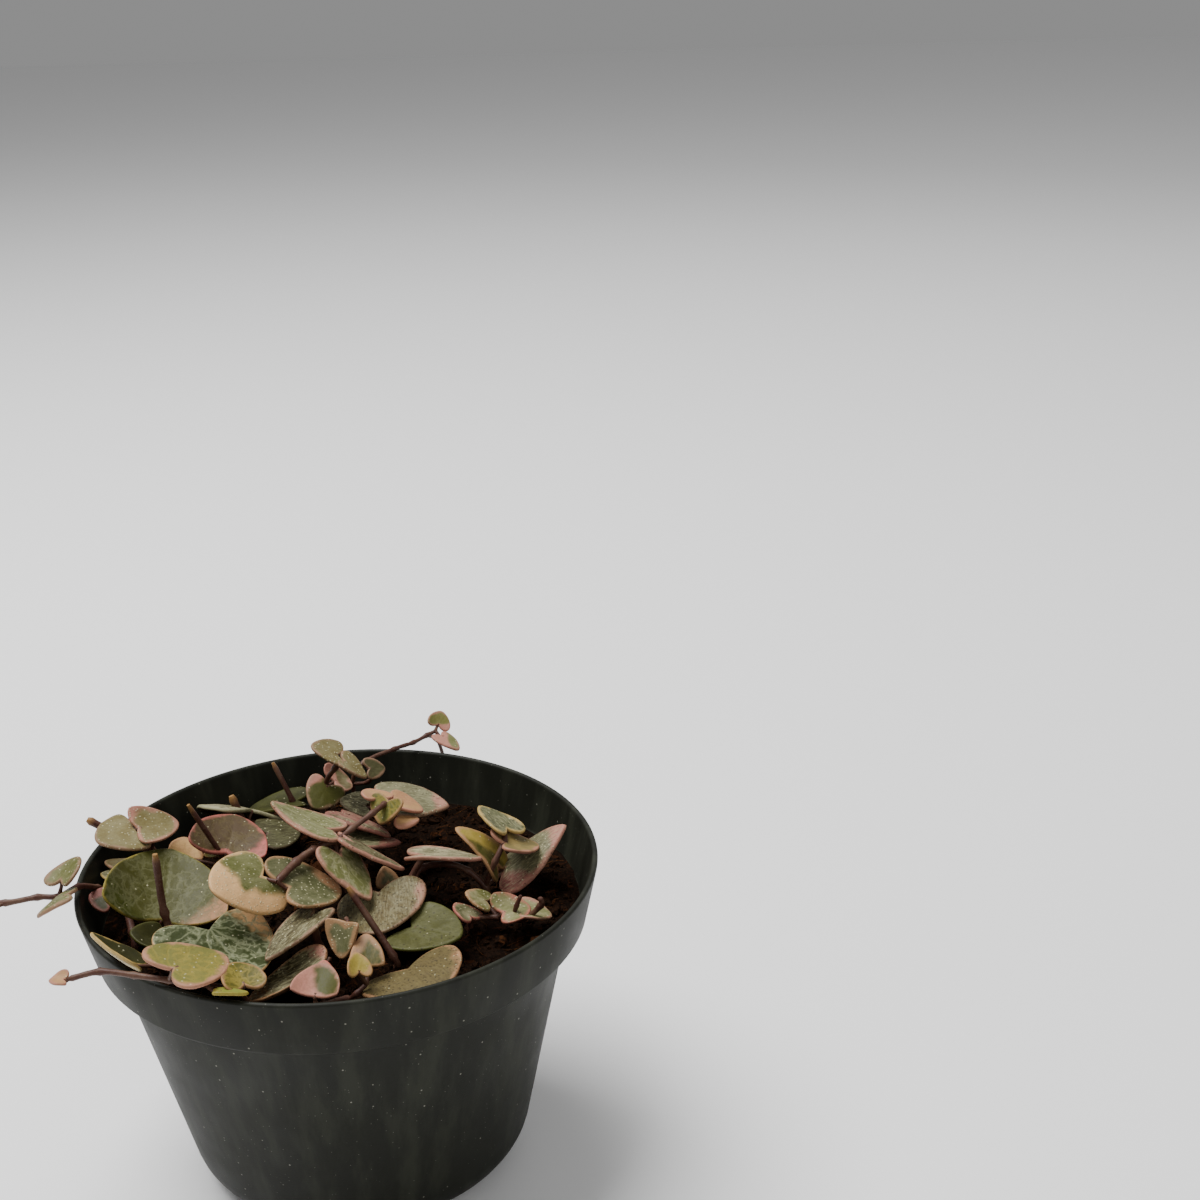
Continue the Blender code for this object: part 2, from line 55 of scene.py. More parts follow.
# %% [markdown]
# ## Sizes
# The driving sizes come from the frame: the rim's radius and height from the pot's box, and the
# soil's level from the soil's box. What the boxes can't say, such as the wall's thickness, is
# named here in millimetres, as it is on such a pot.

# %% Sizes from the frame
MM = 0.001
POT_LOW, POT_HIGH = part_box("pot")
SOIL_LOW, SOIL_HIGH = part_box("soil")
RIM_RADIUS = POT_HIGH[0]
POT_HEIGHT = POT_HIGH[2]
SOIL_TOP = round(SOIL_HIGH[2] / MM) * MM
BAND_HEIGHT = 13.2 * MM
BAND_FOOT_RADIUS = 52.4 * MM
WALL_TOP_RADIUS = 48.6 * MM
BASE_RADIUS = 36.0 * MM
BASE_CORNER = 11.0 * MM
WALL = 1.3 * MM
FLOOR = SOIL_LOW[2] - 0.3 * MM
BAND_FOOT = POT_HEIGHT - BAND_HEIGHT
WALL_SLOPE = (WALL_TOP_RADIUS - BASE_RADIUS) / BAND_FOOT
print("rim radius %.1f mm, height %.1f mm, soil at %.1f mm"
      % (RIM_RADIUS / MM, POT_HEIGHT / MM, SOIL_TOP / MM))

# %% [markdown]
# ## The camera
# It stands where the photographer stood: in front, a little to the right and above, looking down
# by about 25 degrees, with a slight roll. The photograph is cropped low, so the view is shifted up
# by a tenth of its width. Three vectors make the camera's axes.

# %% Camera
CAMERA_PLACE = Vector((0.05913, -0.33541, 0.25862))
CAMERA_TURN = -0.0087
CAMERA_PITCH = 0.4332
CAMERA_ROLL = -0.0267
forward = Vector((math.sin(CAMERA_TURN) * math.cos(CAMERA_PITCH),
                  math.cos(CAMERA_TURN) * math.cos(CAMERA_PITCH), -math.sin(CAMERA_PITCH)))
level = Vector((math.cos(CAMERA_TURN), -math.sin(CAMERA_TURN), 0))
upward = level.cross(forward)
side = level * math.cos(CAMERA_ROLL) + upward * math.sin(CAMERA_ROLL)
upward = upward * math.cos(CAMERA_ROLL) - level * math.sin(CAMERA_ROLL)
camera = bpy.data.objects.new("camera", bpy.data.cameras.new("camera"))
camera.data.lens = 53.97
camera.data.sensor_width = 36.0
camera.data.shift_y = 0.1
camera.data.clip_start = 0.01
camera.matrix_world = (Matrix.Translation(CAMERA_PLACE)
                       @ Matrix((side, upward, -forward)).transposed().to_4x4())
bpy.context.scene.collection.objects.link(camera)
bpy.context.scene.camera = camera
print("camera at", [round(v, 3) for v in CAMERA_PLACE])

# %% [markdown]
# ## Small helpers
# A node tree reads best when a line makes one node and says what feeds it. `add` makes a node in
# any tree, shader or geometry: a value that is a socket is linked, any other value is set.


# %% Node helper
def add(tree, kind, inputs=None, **settings):
    """A new node: settings are its properties, inputs maps a socket's name or number to a value."""
    made = tree.nodes.new(kind)
    for name, value in settings.items():
        setattr(made, name, value)
    for key, value in (inputs or {}).items():
        if isinstance(value, bpy.types.NodeSocket):
            tree.links.new(value, made.inputs[key])
        else:
            made.inputs[key].default_value = value
    return made


def maths(tree, operation, first, second=0.0, clamp=False):
    """One Math node, given as its result."""
    made = add(tree, "ShaderNodeMath", {0: first, 1: second}, operation=operation)
    made.use_clamp = clamp
    return made.outputs[0]


def blend(tree, share, first, second, blend_type="MIX"):
    """Mix two colours by a share from 0 to 1."""
    made = add(tree, "ShaderNodeMix", data_type="RGBA", blend_type=blend_type)
    for number, value in ((0, share), (6, first), (7, second)):
        if isinstance(value, bpy.types.NodeSocket):
            tree.links.new(value, made.inputs[number])
        else:
            made.inputs[number].default_value = value
    return made.outputs[2]


def step_up(tree, value, low, high):
    """A soft step: 0 below low, 1 above high."""
    made = add(tree, "ShaderNodeMapRange", {"Value": value, "From Min": low, "From Max": high})
    made.interpolation_type = "SMOOTHSTEP"
    return made.outputs["Result"]


def rgb(red, green, blue):
    """A colour named by its screen values, 0 to 255, as the linear colour that light uses."""
    parts = []
    for value in (red, green, blue):
        share = value / 255
        parts.append(share / 12.92 if share <= 0.04045 else ((share + 0.055) / 1.055) ** 2.4)
    return (*parts, 1.0)


def sockets(tree, way, names):
    """Named group inputs or outputs, each (name, type, default or None)."""
    for name, kind, value in names:
        made = tree.interface.new_socket(name, in_out=way, socket_type="NodeSocket" + kind)
        if value is not None:
            made.default_value = value


def link_object(name, mesh, material=None):
    """Show a mesh as an object at the origin."""
    thing = bpy.data.objects.new(name, mesh)
    bpy.context.scene.collection.objects.link(thing)
    if material:
        mesh.materials.append(material)
    return thing


def principled(name, roughness, **values):
    """A new material, its tree and its Principled shader with plain values set on it."""
    material = bpy.data.materials.new(name)
    material.use_nodes = True
    shader = material.node_tree.nodes["Principled BSDF"]
    shader.inputs["Roughness"].default_value = roughness
    for key, value in values.items():
        shader.inputs[key.replace("_", " ")].default_value = value
    return material, material.node_tree, shader


# %% [markdown]
# ## Floor and light
# A plain pale floor and soft light from large lamps: the photograph was taken in bright, even
# light from above, with a little more from the left.

# %% Floor and lamps
FLOOR_SIZE = 6.0
floor_mesh = bpy.data.meshes.new("floor")
corner = FLOOR_SIZE / 2
floor_mesh.from_pydata([(-corner, -corner, 0), (corner, -corner, 0), (corner, corner, 0),
                        (-corner, corner, 0)], [], [(0, 1, 2, 3)])
floor_finish, _, floor_shader = principled("floor_pale", 0.9)
floor_shader.inputs["Base Color"].default_value = (0.92, 0.92, 0.92, 1)
floor = link_object("floor", floor_mesh, floor_finish)


def lamp(name, place, size, power, aim=(0, 0, 0.06)):
    """A square soft lamp at a place, turned to an aim."""
    data = bpy.data.lights.new(name, "AREA")
    data.size = size
    data.energy = power
    thing = bpy.data.objects.new(name, data)
    thing.location = place
    thing.rotation_euler = (Vector(aim) - Vector(place)).to_track_quat("-Z", "Y").to_euler()
    bpy.context.scene.collection.objects.link(thing)


lamp("key_lamp", (-0.35, 0.15, 1.1), 0.8, 24)
lamp("fill_lamp", (0.6, -0.7, 0.6), 0.8, 2.5)
lamp("back_lamp", (0.3, 0.9, 0.8), 0.8, 1.2)
world = bpy.data.worlds.new("studio")
world.use_nodes = True
world.node_tree.nodes["Background"].inputs["Color"].default_value = (1.0, 1.0, 1.0, 1)
world.node_tree.nodes["Background"].inputs["Strength"].default_value = 0.28
bpy.context.scene.world = world
print("floor and three lamps")

# %% [markdown]
# ## Finishes shared by several materials
# Peat, plastic and leaf skin all vary from place to place. A shader node group named
# `uneven` gives a broad and a fine unevenness, and each material uses it at its own scale.


# %% Shader group: uneven
def uneven_group():
    """Broad and fine unevenness over a piece, both from 0 to 1."""
    tree = bpy.data.node_groups.new("uneven", "ShaderNodeTree")
    sockets(tree, "INPUT", [("Broad Scale", "Float", 60.0), ("Fine Scale", "Float", 600.0)])
    sockets(tree, "OUTPUT", [("Broad", "Float", None), ("Fine", "Float", None)])
    start = add(tree, "NodeGroupInput")
    place = add(tree, "ShaderNodeTexCoord").outputs["Object"]
    broad = add(tree, "ShaderNodeTexNoise", {"Vector": place, "Scale": start.outputs[0],
                                             "Detail": 3.0, "Roughness": 0.55})
    fine = add(tree, "ShaderNodeTexNoise", {"Vector": place, "Scale": start.outputs[1],
                                            "Detail": 5.0, "Roughness": 0.65})
    add(tree, "NodeGroupOutput", {0: broad.outputs["Fac"], 1: fine.outputs["Fac"]})
    return tree


UNEVEN = uneven_group()


def uneven(tree, broad, fine):
    """Place the group in a material, with the material's own scales."""
    made = add(tree, "ShaderNodeGroup", node_tree=UNEVEN)
    made.inputs[0].default_value = broad
    made.inputs[1].default_value = fine
    return made.outputs[0], made.outputs[1]


# %% [markdown]
# A group named `dots` scatters small round dots of a given spacing and size. It makes the leaves'
# pimples, their dark specks and the dust on the pot; the pimples' pale grey is partly their own
# tone and partly a painted highlight.


# %% Shader group: dots
def dots_group():
    """Round dots: a mask from 0 to 1. Share says how many of the places hold a dot."""
    tree = bpy.data.node_groups.new("dots", "ShaderNodeTree")
    sockets(tree, "INPUT", [("Scale", "Float", 900.0), ("Size", "Float", 0.25),
                            ("Share", "Float", 0.5)])
    sockets(tree, "OUTPUT", [("Mask", "Float", None)])
    start = add(tree, "NodeGroupInput")
    place = add(tree, "ShaderNodeTexCoord").outputs["Object"]
    cells = add(tree, "ShaderNodeTexVoronoi", {"Vector": place, "Scale": start.outputs[0],
                                               "Randomness": 1.0})
    size = start.outputs[1]
    near = add(tree, "ShaderNodeMapRange", {"Value": cells.outputs["Distance"], "From Min": size,
                                            "From Max": maths(tree, "MULTIPLY", size, 0.45)})
    chance = add(tree, "ShaderNodeSeparateColor", {0: cells.outputs["Color"]}).outputs[0]
    kept = maths(tree, "LESS_THAN", chance, start.outputs[2])
    add(tree, "NodeGroupOutput", {0: maths(tree, "MULTIPLY", near.outputs["Result"], kept)})
    return tree


DOTS = dots_group()


def dots(tree, scale, size, share):
    """Place the group in a material: dots per metre, their size in cells and their share."""
    made = add(tree, "ShaderNodeGroup", node_tree=DOTS)
    for number, value in enumerate((scale, size, share)):
        made.inputs[number].default_value = value
    return made.outputs[0]


print("shader groups:", UNEVEN.name, DOTS.name)

# %% [markdown]
# ## The pot
# A nursery pot is one thin moulding: a tapered wall with a small round at the foot, a step out to
# the rim band, and a rounded lip. A turned shape follows a rule, so Geometry Nodes make it: the
# profile is a row of points, and the tree sweeps a grid round the axis, reading each row's radius
# and height from that profile. The faint upright flutes that the mould leaves are one term in the
# radius.


# %% Profile of the pot
def arc(centre, radius, start, end, count):
    """Points on a round corner, angles in degrees."""
    angles = np.radians(np.linspace(start, end, count + 1))
    return [(centre[0] + radius * math.cos(a), centre[1] + radius * math.sin(a)) for a in angles]


LEAN = math.degrees(math.atan(WALL_SLOPE))
LIP = WALL / 2
STEP_ROUND = 0.8 * MM


def foot_arc(inset, height, count=8):
    """The round from the floor to the wall, held in by inset, on a floor at a height."""
    radius = BASE_CORNER - inset
    centre_z = height + radius
    centre_x = (BASE_RADIUS - inset + WALL_SLOPE * centre_z
                - radius / math.cos(math.radians(LEAN)))
    return arc((centre_x, centre_z), radius, -90, -LEAN, count)


outside = [(0, 0), (20 * MM, 0)] + foot_arc(0, 0)
outside += [(WALL_TOP_RADIUS - WALL_SLOPE * 6 * MM, BAND_FOOT - 6 * MM)]
outside += arc((WALL_TOP_RADIUS + STEP_ROUND, BAND_FOOT - STEP_ROUND), STEP_ROUND, 180, 90, 3)
outside += arc((BAND_FOOT_RADIUS - STEP_ROUND, BAND_FOOT + STEP_ROUND), STEP_ROUND, -90, 0, 4)
lip = arc((RIM_RADIUS - LIP, POT_HEIGHT - LIP), LIP, 0, 180, 8)
ledge = arc((BAND_FOOT_RADIUS - WALL - STEP_ROUND, BAND_FOOT + WALL + STEP_ROUND), STEP_ROUND,
            0, -90, 3)
ledge += arc((WALL_TOP_RADIUS - WALL + STEP_ROUND, BAND_FOOT + WALL - STEP_ROUND), STEP_ROUND,
             90, 180, 3)
inside = list(reversed(foot_arc(WALL, FLOOR)))
profile = outside + lip + ledge + inside + [(0, FLOOR)]
print("the pot's profile has", len(profile), "points")

# %% [markdown]
# The tree's inputs have names, and the modifier's inputs are set by the socket's identifier before
# the object is first evaluated. `applied` then takes the evaluated mesh and drops the modifier, so
# that every finished piece is a plain mesh.


# %% Geometry Nodes helpers
def geometry_tree(name, inputs):
    """A new geometry tree with a Geometry input, named inputs and a Geometry output."""
    tree = bpy.data.node_groups.new(name, "GeometryNodeTree")
    sockets(tree, "INPUT", [("Geometry", "Geometry", None)] + inputs)
    sockets(tree, "OUTPUT", [("Geometry", "Geometry", None)])
    return tree, add(tree, "NodeGroupInput")


def close_tree(tree, geometry, material):
    """End a tree in Realize Instances and Set Material."""
    plain = add(tree, "GeometryNodeRealizeInstances", {0: geometry}).outputs[0]
    finished = add(tree, "GeometryNodeSetMaterial", {"Geometry": plain, "Material": material})
    add(tree, "NodeGroupOutput", {0: finished.outputs[0]})


def applied(thing, tree, **values):
    """Run a tree on an object with named inputs, keep the result as a plain mesh."""
    modifier = thing.modifiers.new("tree", "NODES")
    modifier.node_group = tree
    for item in tree.interface.items_tree:
        key = item.name.replace(" ", "_")
        if item.in_out == "INPUT" and key in values:
            modifier[item.identifier] = values[key]
    bpy.context.view_layer.update()
    graph = bpy.context.evaluated_depsgraph_get()
    mesh = bpy.data.meshes.new_from_object(thing.evaluated_get(graph))
    thing.modifiers.clear()
    old = thing.data
    thing.data = mesh
    mesh.name = thing.name
    bpy.data.meshes.remove(old)
    return thing


def row_of_points(name, chains, attributes=None):
    """A mesh of loose point chains, with float attributes on its points."""
    points, edges = [], []
    for chain in chains:
        first = len(points)
        points += [tuple(p) for p in chain]
        edges += [(k, k + 1) for k in range(first, len(points) - 1)]
    mesh = bpy.data.meshes.new(name)
    mesh.from_pydata(points, edges, [])
    for key, values in (attributes or {}).items():
        mesh.attributes.new(key, "FLOAT", "POINT").data.foreach_set("value", values)
    return link_object(name, mesh)


def wired(tree, kind, inputs=None, **settings):
    """A node given as its first result."""
    return add(tree, kind, inputs, **settings).outputs[0]


# %% Tree: turned shell
def turned_tree():
    """Sweeps a profile in the XZ plane round the Z axis, with faint upright flutes."""
    tree, start = geometry_tree("turned_shell", [
        ("Rows", "Int", 10), ("Steps", "Int", 96), ("Flutes", "Int", 12),
        ("Flute Depth", "Float", 0.0), ("Material", "Material", None)])
    rows, steps = start.outputs["Rows"], start.outputs["Steps"]
    grid = add(tree, "GeometryNodeMeshGrid", {"Size X": 1.0, "Size Y": 1.0,
                                              "Vertices X": steps, "Vertices Y": rows})
    spot = add(tree, "ShaderNodeSeparateXYZ", {0: wired(tree, "GeometryNodeInputPosition")})
    turn = maths(tree, "MULTIPLY", maths(tree, "ADD", spot.outputs[0], 0.5), 2 * math.pi)
    row = maths(tree, "MULTIPLY", maths(tree, "ADD", spot.outputs[1], 0.5),
                maths(tree, "SUBTRACT", rows, 1.0))
    place = wired(tree, "GeometryNodeInputPosition")
    sample = add(tree, "GeometryNodeSampleIndex", data_type="FLOAT_VECTOR")
    tree.links.new(start.outputs["Geometry"], sample.inputs["Geometry"])
    tree.links.new(place, sample.inputs["Value"])
    tree.links.new(maths(tree, "ROUND", row), sample.inputs["Index"])
    profile_spot = add(tree, "ShaderNodeSeparateXYZ", {0: sample.outputs[0]})
    wave = maths(tree, "COSINE", maths(tree, "MULTIPLY", turn, start.outputs["Flutes"]))
    height = profile_spot.outputs[2]
    on_wall = maths(tree, "MULTIPLY", step_up(tree, height, 0.010, 0.030),
                    step_up(tree, height, POT_HEIGHT - BAND_HEIGHT - 0.001,
                            POT_HEIGHT - BAND_HEIGHT - 0.008))
    flute = maths(tree, "MULTIPLY", maths(tree, "MULTIPLY", wave, on_wall),
                  start.outputs["Flute Depth"])
    radius = maths(tree, "ADD", profile_spot.outputs[0], flute)
    to_place = add(tree, "ShaderNodeCombineXYZ", {
        0: maths(tree, "MULTIPLY", radius, maths(tree, "COSINE", turn)),
        1: maths(tree, "MULTIPLY", radius, maths(tree, "SINE", turn)),
        2: height})
    swept = add(tree, "GeometryNodeSetPosition", {"Geometry": grid.outputs[0],
                                                  "Position": to_place.outputs[0]})
    closed = add(tree, "GeometryNodeMergeByDistance", {"Geometry": swept.outputs[0],
                                                       "Distance": 0.00001})
    close_tree(tree, closed.outputs[0], start.outputs["Material"])
    return tree


TURNED = turned_tree()
print("tree:", TURNED.name)


# %% [markdown]
# ### The pot's plastic
# Recycled black plastic: a green-black that turns grey where dust and dried water lie on it, with
# an uneven gloss. Dust specks are `dots` at two sizes. A very fine bump gives the moulded grain.


# %% Plastic
def plastic_finish():
    """Dark green-black moulded plastic, dusty."""
    material, tree, shader = principled("pot_plastic", 0.5, Specular_IOR_Level=0.15)
    broad, fine = uneven(tree, 45.0, 2600.0)
    colour = blend(tree, broad, rgb(20, 21, 16), rgb(32, 33, 26))
    place_at = add(tree, "ShaderNodeTexCoord").outputs["Object"]
    upright = add(tree, "ShaderNodeMapping", {"Vector": place_at, "Scale": (150.0, 150.0, 12.0)})
    runs = add(tree, "ShaderNodeTexNoise", {"Vector": upright.outputs[0], "Scale": 1.0,
                                            "Detail": 4.0, "Roughness": 0.6})
    film = maths(tree, "MULTIPLY", step_up(tree, runs.outputs["Fac"], 0.42, 0.70), 0.5)
    colour = blend(tree, film, colour, rgb(52, 54, 44))
    specks = dots(tree, 420.0, 0.10, 0.30)
    grains = dots(tree, 1500.0, 0.16, 0.12)
    dust = maths(tree, "MAXIMUM", specks, maths(tree, "MULTIPLY", grains, 0.6))
    colour = blend(tree, maths(tree, "MULTIPLY", dust, 0.55), colour, rgb(168, 166, 152))
    tree.links.new(colour, shader.inputs["Base Color"])
    gloss = add(tree, "ShaderNodeMapRange", {"Value": broad, "From Min": 0.3, "From Max": 0.7,
                                             "To Min": 0.42, "To Max": 0.62})
    tree.links.new(gloss.outputs[0], shader.inputs["Roughness"])
    bump = add(tree, "ShaderNodeBump", {"Height": fine, "Strength": 0.12, "Distance": 0.0002})
    tree.links.new(bump.outputs[0], shader.inputs["Normal"])
    return material


PLASTIC = plastic_finish()

# %% [markdown]
# The drain holes are cut last, by one Boolean with a drill for each hole.


# %% Pot
DRAIN_RADIUS = 4.0 * MM
DRAIN_CIRCLE = 17.0 * MM
DRAIN_COUNT = 5


def cut_drains(thing):
    """Five round holes through the floor."""
    bm = bmesh.new()
    for number in range(DRAIN_COUNT):
        turn = 2 * math.pi * number / DRAIN_COUNT
        spot = Matrix.Translation((DRAIN_CIRCLE * math.cos(turn), DRAIN_CIRCLE * math.sin(turn), 0))
        bmesh.ops.create_cone(bm, cap_ends=True, segments=32, radius1=DRAIN_RADIUS,
                              radius2=DRAIN_RADIUS, depth=6 * FLOOR, matrix=spot)
    mesh = bpy.data.meshes.new("drill")
    bm.to_mesh(mesh)
    bm.free()
    drill = link_object("drill", mesh)
    cut = thing.modifiers.new("drains", "BOOLEAN")
    cut.operation = "DIFFERENCE"
    cut.object = drill
    bpy.context.view_layer.update()
    graph = bpy.context.evaluated_depsgraph_get()
    thing.data = bpy.data.meshes.new_from_object(thing.evaluated_get(graph))
    thing.modifiers.clear()
    bpy.data.objects.remove(drill, do_unlink=True)


def shade(thing, angle):
    """Smooth shading, sharp past an angle in degrees."""
    thing.data.shade_smooth()
    thing.data.set_sharp_from_angle(angle=math.radians(angle))


pot = row_of_points("pot_shell", [[(r, 0, z) for r, z in profile]])
applied(pot, TURNED, Rows=len(profile), Steps=161, Flutes=12, Flute_Depth=0.12 * MM,
        Material=PLASTIC)
cut_drains(pot)
shade(pot, 40)
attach(pot, "root")
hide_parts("pot")
print("pot:", len(pot.data.polygons), "faces")

# %% [markdown]
# ## The soil
# Peat fills the pot to just under the rim. Its body is one closed mesh: a lumpy top made of rings,
# and flanks that follow the pot's inside. On it lie loose crumbs, bark chips and fibres.


# %% Peat
def peat_finish(name, dark, light, fibre):
    """Dark, crumbly peat with rusty fibres and pale grains."""
    material, tree, shader = principled(name, 1.0, Specular_IOR_Level=0.05)
    broad, fine = uneven(tree, 160.0, 1800.0)
    colour = blend(tree, step_up(tree, fine, 0.35, 0.75), dark, light)
    strand_noise = add(tree, "ShaderNodeTexNoise", {"Scale": 260.0, "Detail": 2.0, "Distortion": 1.6})
    strands = step_up(tree, strand_noise.outputs["Fac"], 0.60, 0.68)
    colour = blend(tree, maths(tree, "MULTIPLY", strands, 0.55), colour, fibre)
    colour = blend(tree, maths(tree, "MULTIPLY", broad, 0.5), colour, rgb(8, 5, 3))
    tree.links.new(colour, shader.inputs["Base Color"])
    bump = add(tree, "ShaderNodeBump", {"Height": fine, "Strength": 0.6, "Distance": 0.0006})
    tree.links.new(bump.outputs[0], shader.inputs["Normal"])
    place = add(tree, "ShaderNodeTexCoord").outputs["Object"]
    tree.links.new(place, strand_noise.inputs["Vector"])
    return material


PEAT = peat_finish("soil_peat", rgb(12, 7, 4), rgb(40, 24, 14), rgb(70, 38, 18))
CRUMB = peat_finish("soil_crumb", rgb(14, 8, 5), rgb(52, 32, 19), rgb(84, 48, 24))
FIBRE = peat_finish("soil_fibre", rgb(44, 24, 12), rgb(92, 58, 30), rgb(120, 76, 38))


def inner_radius(z):
    """Radius of the pot's inside at a height."""
    if z > BAND_FOOT + WALL:
        share = (z - BAND_FOOT) / BAND_HEIGHT
        return BAND_FOOT_RADIUS - WALL + share * (RIM_RADIUS - BAND_FOOT_RADIUS)
    return BASE_RADIUS + WALL_SLOPE * z - WALL


SOIL_GAP = 0.25 * MM
SOIL_STEPS = 144
SOIL_RINGS = 60
SOIL_LUMP = 1.1 * MM


def soil_height(x, y):
    """The top of the soil: gentle hollows, lumps and small grains, in metres."""
    spot = Vector((x, y, 0))
    broad = noise.noise(spot * 55)
    lumps = noise.noise(spot * 240 + Vector((7, 1, 3)))
    grains = noise.noise(spot * 800 + Vector((2, 9, 5)))
    return SOIL_TOP + SOIL_LUMP * (0.8 * broad + 0.45 * lumps + 0.2 * grains - 0.5)


def soil_mesh():
    """One closed body: rings of the top, then the flanks, then the underside."""
    rim = inner_radius(SOIL_TOP) - SOIL_GAP
    rings = []
    for number in range(1, SOIL_RINGS + 1):
        radius = rim * number / SOIL_RINGS
        rings.append([(radius * math.cos(a), radius * math.sin(a)) for a in
                      np.linspace(0, 2 * math.pi, SOIL_STEPS, endpoint=False)])
    points = [(0, 0, soil_height(0, 0))]
    for ring in rings:
        points += [(x, y, soil_height(x, y)) for x, y in ring]
    below = [(inner_radius(BAND_FOOT + 2 * MM) - SOIL_GAP, BAND_FOOT + WALL + SOIL_GAP),
             (WALL_TOP_RADIUS - WALL - SOIL_GAP, BAND_FOOT + WALL + SOIL_GAP)]
    below += [(r - SOIL_GAP, z + SOIL_GAP) for r, z in reversed(foot_arc(WALL, FLOOR))]
    for radius, z in below:
        points += [(radius * math.cos(a), radius * math.sin(a), z) for a in
                   np.linspace(0, 2 * math.pi, SOIL_STEPS, endpoint=False)]
    points.append((0, 0, FLOOR + SOIL_GAP))
    faces = []
    total = SOIL_RINGS + len(below)
    for step in range(SOIL_STEPS):
        after = (step + 1) % SOIL_STEPS
        faces.append((0, 1 + step, 1 + after))
        for ring in range(total - 1):
            a, b = 1 + ring * SOIL_STEPS, 1 + (ring + 1) * SOIL_STEPS
            faces.append((a + step, b + step, b + after, a + after))
        last = 1 + (total - 1) * SOIL_STEPS
        faces.append((last + after, last + step, len(points) - 1))
    mesh = bpy.data.meshes.new("soil_body")
    mesh.from_pydata(points, [], faces)
    mesh.validate()
    return mesh


soil = link_object("soil_body", soil_mesh(), PEAT)
soil.data.shade_smooth()
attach(soil, "root")
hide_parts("soil")
print("soil:", len(soil.data.polygons), "faces")

# %% [markdown]
# ### Loose crumbs and fibres
# Hundreds of small things that lie on a surface are a scatter: points spread on the top of the
# soil, one lump or strand on each point, turned and sized at random from a fixed seed.


# %% Tree: scatter
def scatter_tree(name, shape):
    """Spreads a shape over the faces of a surface."""
    tree, start = geometry_tree(name, [
        ("Density", "Float", 100000.0), ("Seed", "Int", 1), ("Smallest", "Float", 0.0004),
        ("Largest", "Float", 0.0016), ("Flatness", "Float", 0.6), ("Lift", "Float", 0.0),
        ("Material", "Material", None)])
    spread = add(tree, "GeometryNodeDistributePointsOnFaces", {
        "Mesh": start.outputs["Geometry"], "Density": start.outputs["Density"],
        "Seed": start.outputs["Seed"]})
    turn = add(tree, "FunctionNodeRandomValue", {
        "Min": (-0.5, -0.5, 0.0), "Max": (0.5, 0.5, 6.283), "Seed": start.outputs["Seed"]},
        data_type="FLOAT_VECTOR")
    draw = maths(tree, "POWER", add(tree, "FunctionNodeRandomValue", {"Seed": 5},
                                    data_type="FLOAT").outputs[1], 2.5)
    sized = add(tree, "ShaderNodeMapRange", {
        "Value": draw, "To Min": start.outputs["Smallest"], "To Max": start.outputs["Largest"]})
    flat = maths(tree, "MULTIPLY", sized.outputs[0], start.outputs["Flatness"])
    scale = add(tree, "ShaderNodeCombineXYZ", {0: sized.outputs[0], 1: sized.outputs[0], 2: flat})
    placed = add(tree, "GeometryNodeInstanceOnPoints", {
        "Points": spread.outputs["Points"], "Instance": shape(tree),
        "Rotation": turn.outputs[0], "Scale": scale.outputs[0]})
    lift = add(tree, "ShaderNodeCombineXYZ", {2: start.outputs["Lift"]})
    raised = add(tree, "GeometryNodeTranslateInstances", {
        "Instances": placed.outputs[0], "Translation": lift.outputs[0]})
    raised.inputs["Local Space"].default_value = False
    close_tree(tree, raised.outputs[0], start.outputs["Material"])
    return tree


def lump(tree):
    """A rough grain of radius 1."""
    ball = add(tree, "GeometryNodeMeshIcoSphere", {"Radius": 1.0, "Subdivisions": 2})
    bumpy = add(tree, "ShaderNodeTexNoise", {"Scale": 1.7, "Detail": 1.0})
    offset = add(tree, "ShaderNodeVectorMath", {0: bumpy.outputs["Color"], 1: (0.5, 0.5, 0.5)},
                 operation="SUBTRACT")
    push = add(tree, "ShaderNodeVectorMath", {0: offset.outputs[0], "Scale": 1.5},
               operation="SCALE")
    return wired(tree, "GeometryNodeSetPosition", {"Geometry": ball.outputs[0],
                                                   "Offset": push.outputs[0]})


def strand(tree):
    """A bent fibre of length about 2 and a flat, three-sided section."""
    line = add(tree, "GeometryNodeCurveQuadraticBezier", {
        "Resolution": 5, "Start": (-1.0, 0, 0), "Middle": (0.1, 0.55, 0.18), "End": (1.0, -0.1, 0)})
    section = add(tree, "GeometryNodeCurvePrimitiveCircle", {"Resolution": 3, "Radius": 0.045})
    return wired(tree, "GeometryNodeCurveToMesh", {"Curve": line.outputs[0],
                                                   "Profile Curve": section.outputs[0],
                                                   "Fill Caps": True})


LUMPS = scatter_tree("loose_crumbs", lump)
STRANDS = scatter_tree("loose_fibres", strand)


def soil_top_surface(name, margin):
    """The top rings of the soil, inside a margin from the pot's wall."""
    mesh = soil.data.copy()
    bm = bmesh.new()
    bm.from_mesh(mesh)
    limit = inner_radius(SOIL_TOP) - margin
    away = [f for f in bm.faces if f.normal.z < 0.2 or f.calc_center_median().xy.length > limit
            or f.calc_center_median().z < SOIL_TOP - 4 * MM]
    bmesh.ops.delete(bm, geom=away, context="FACES")
    bm.to_mesh(mesh)
    bm.free()
    return link_object(name, mesh)


def scatter(name, tree, margin, **values):
    """One piece of scattered grains."""
    piece = applied(soil_top_surface(name, margin), tree, **values)
    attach(piece, "root")
    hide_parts("soil")
    print(name + ":", len(piece.data.polygons), "faces")
    return piece


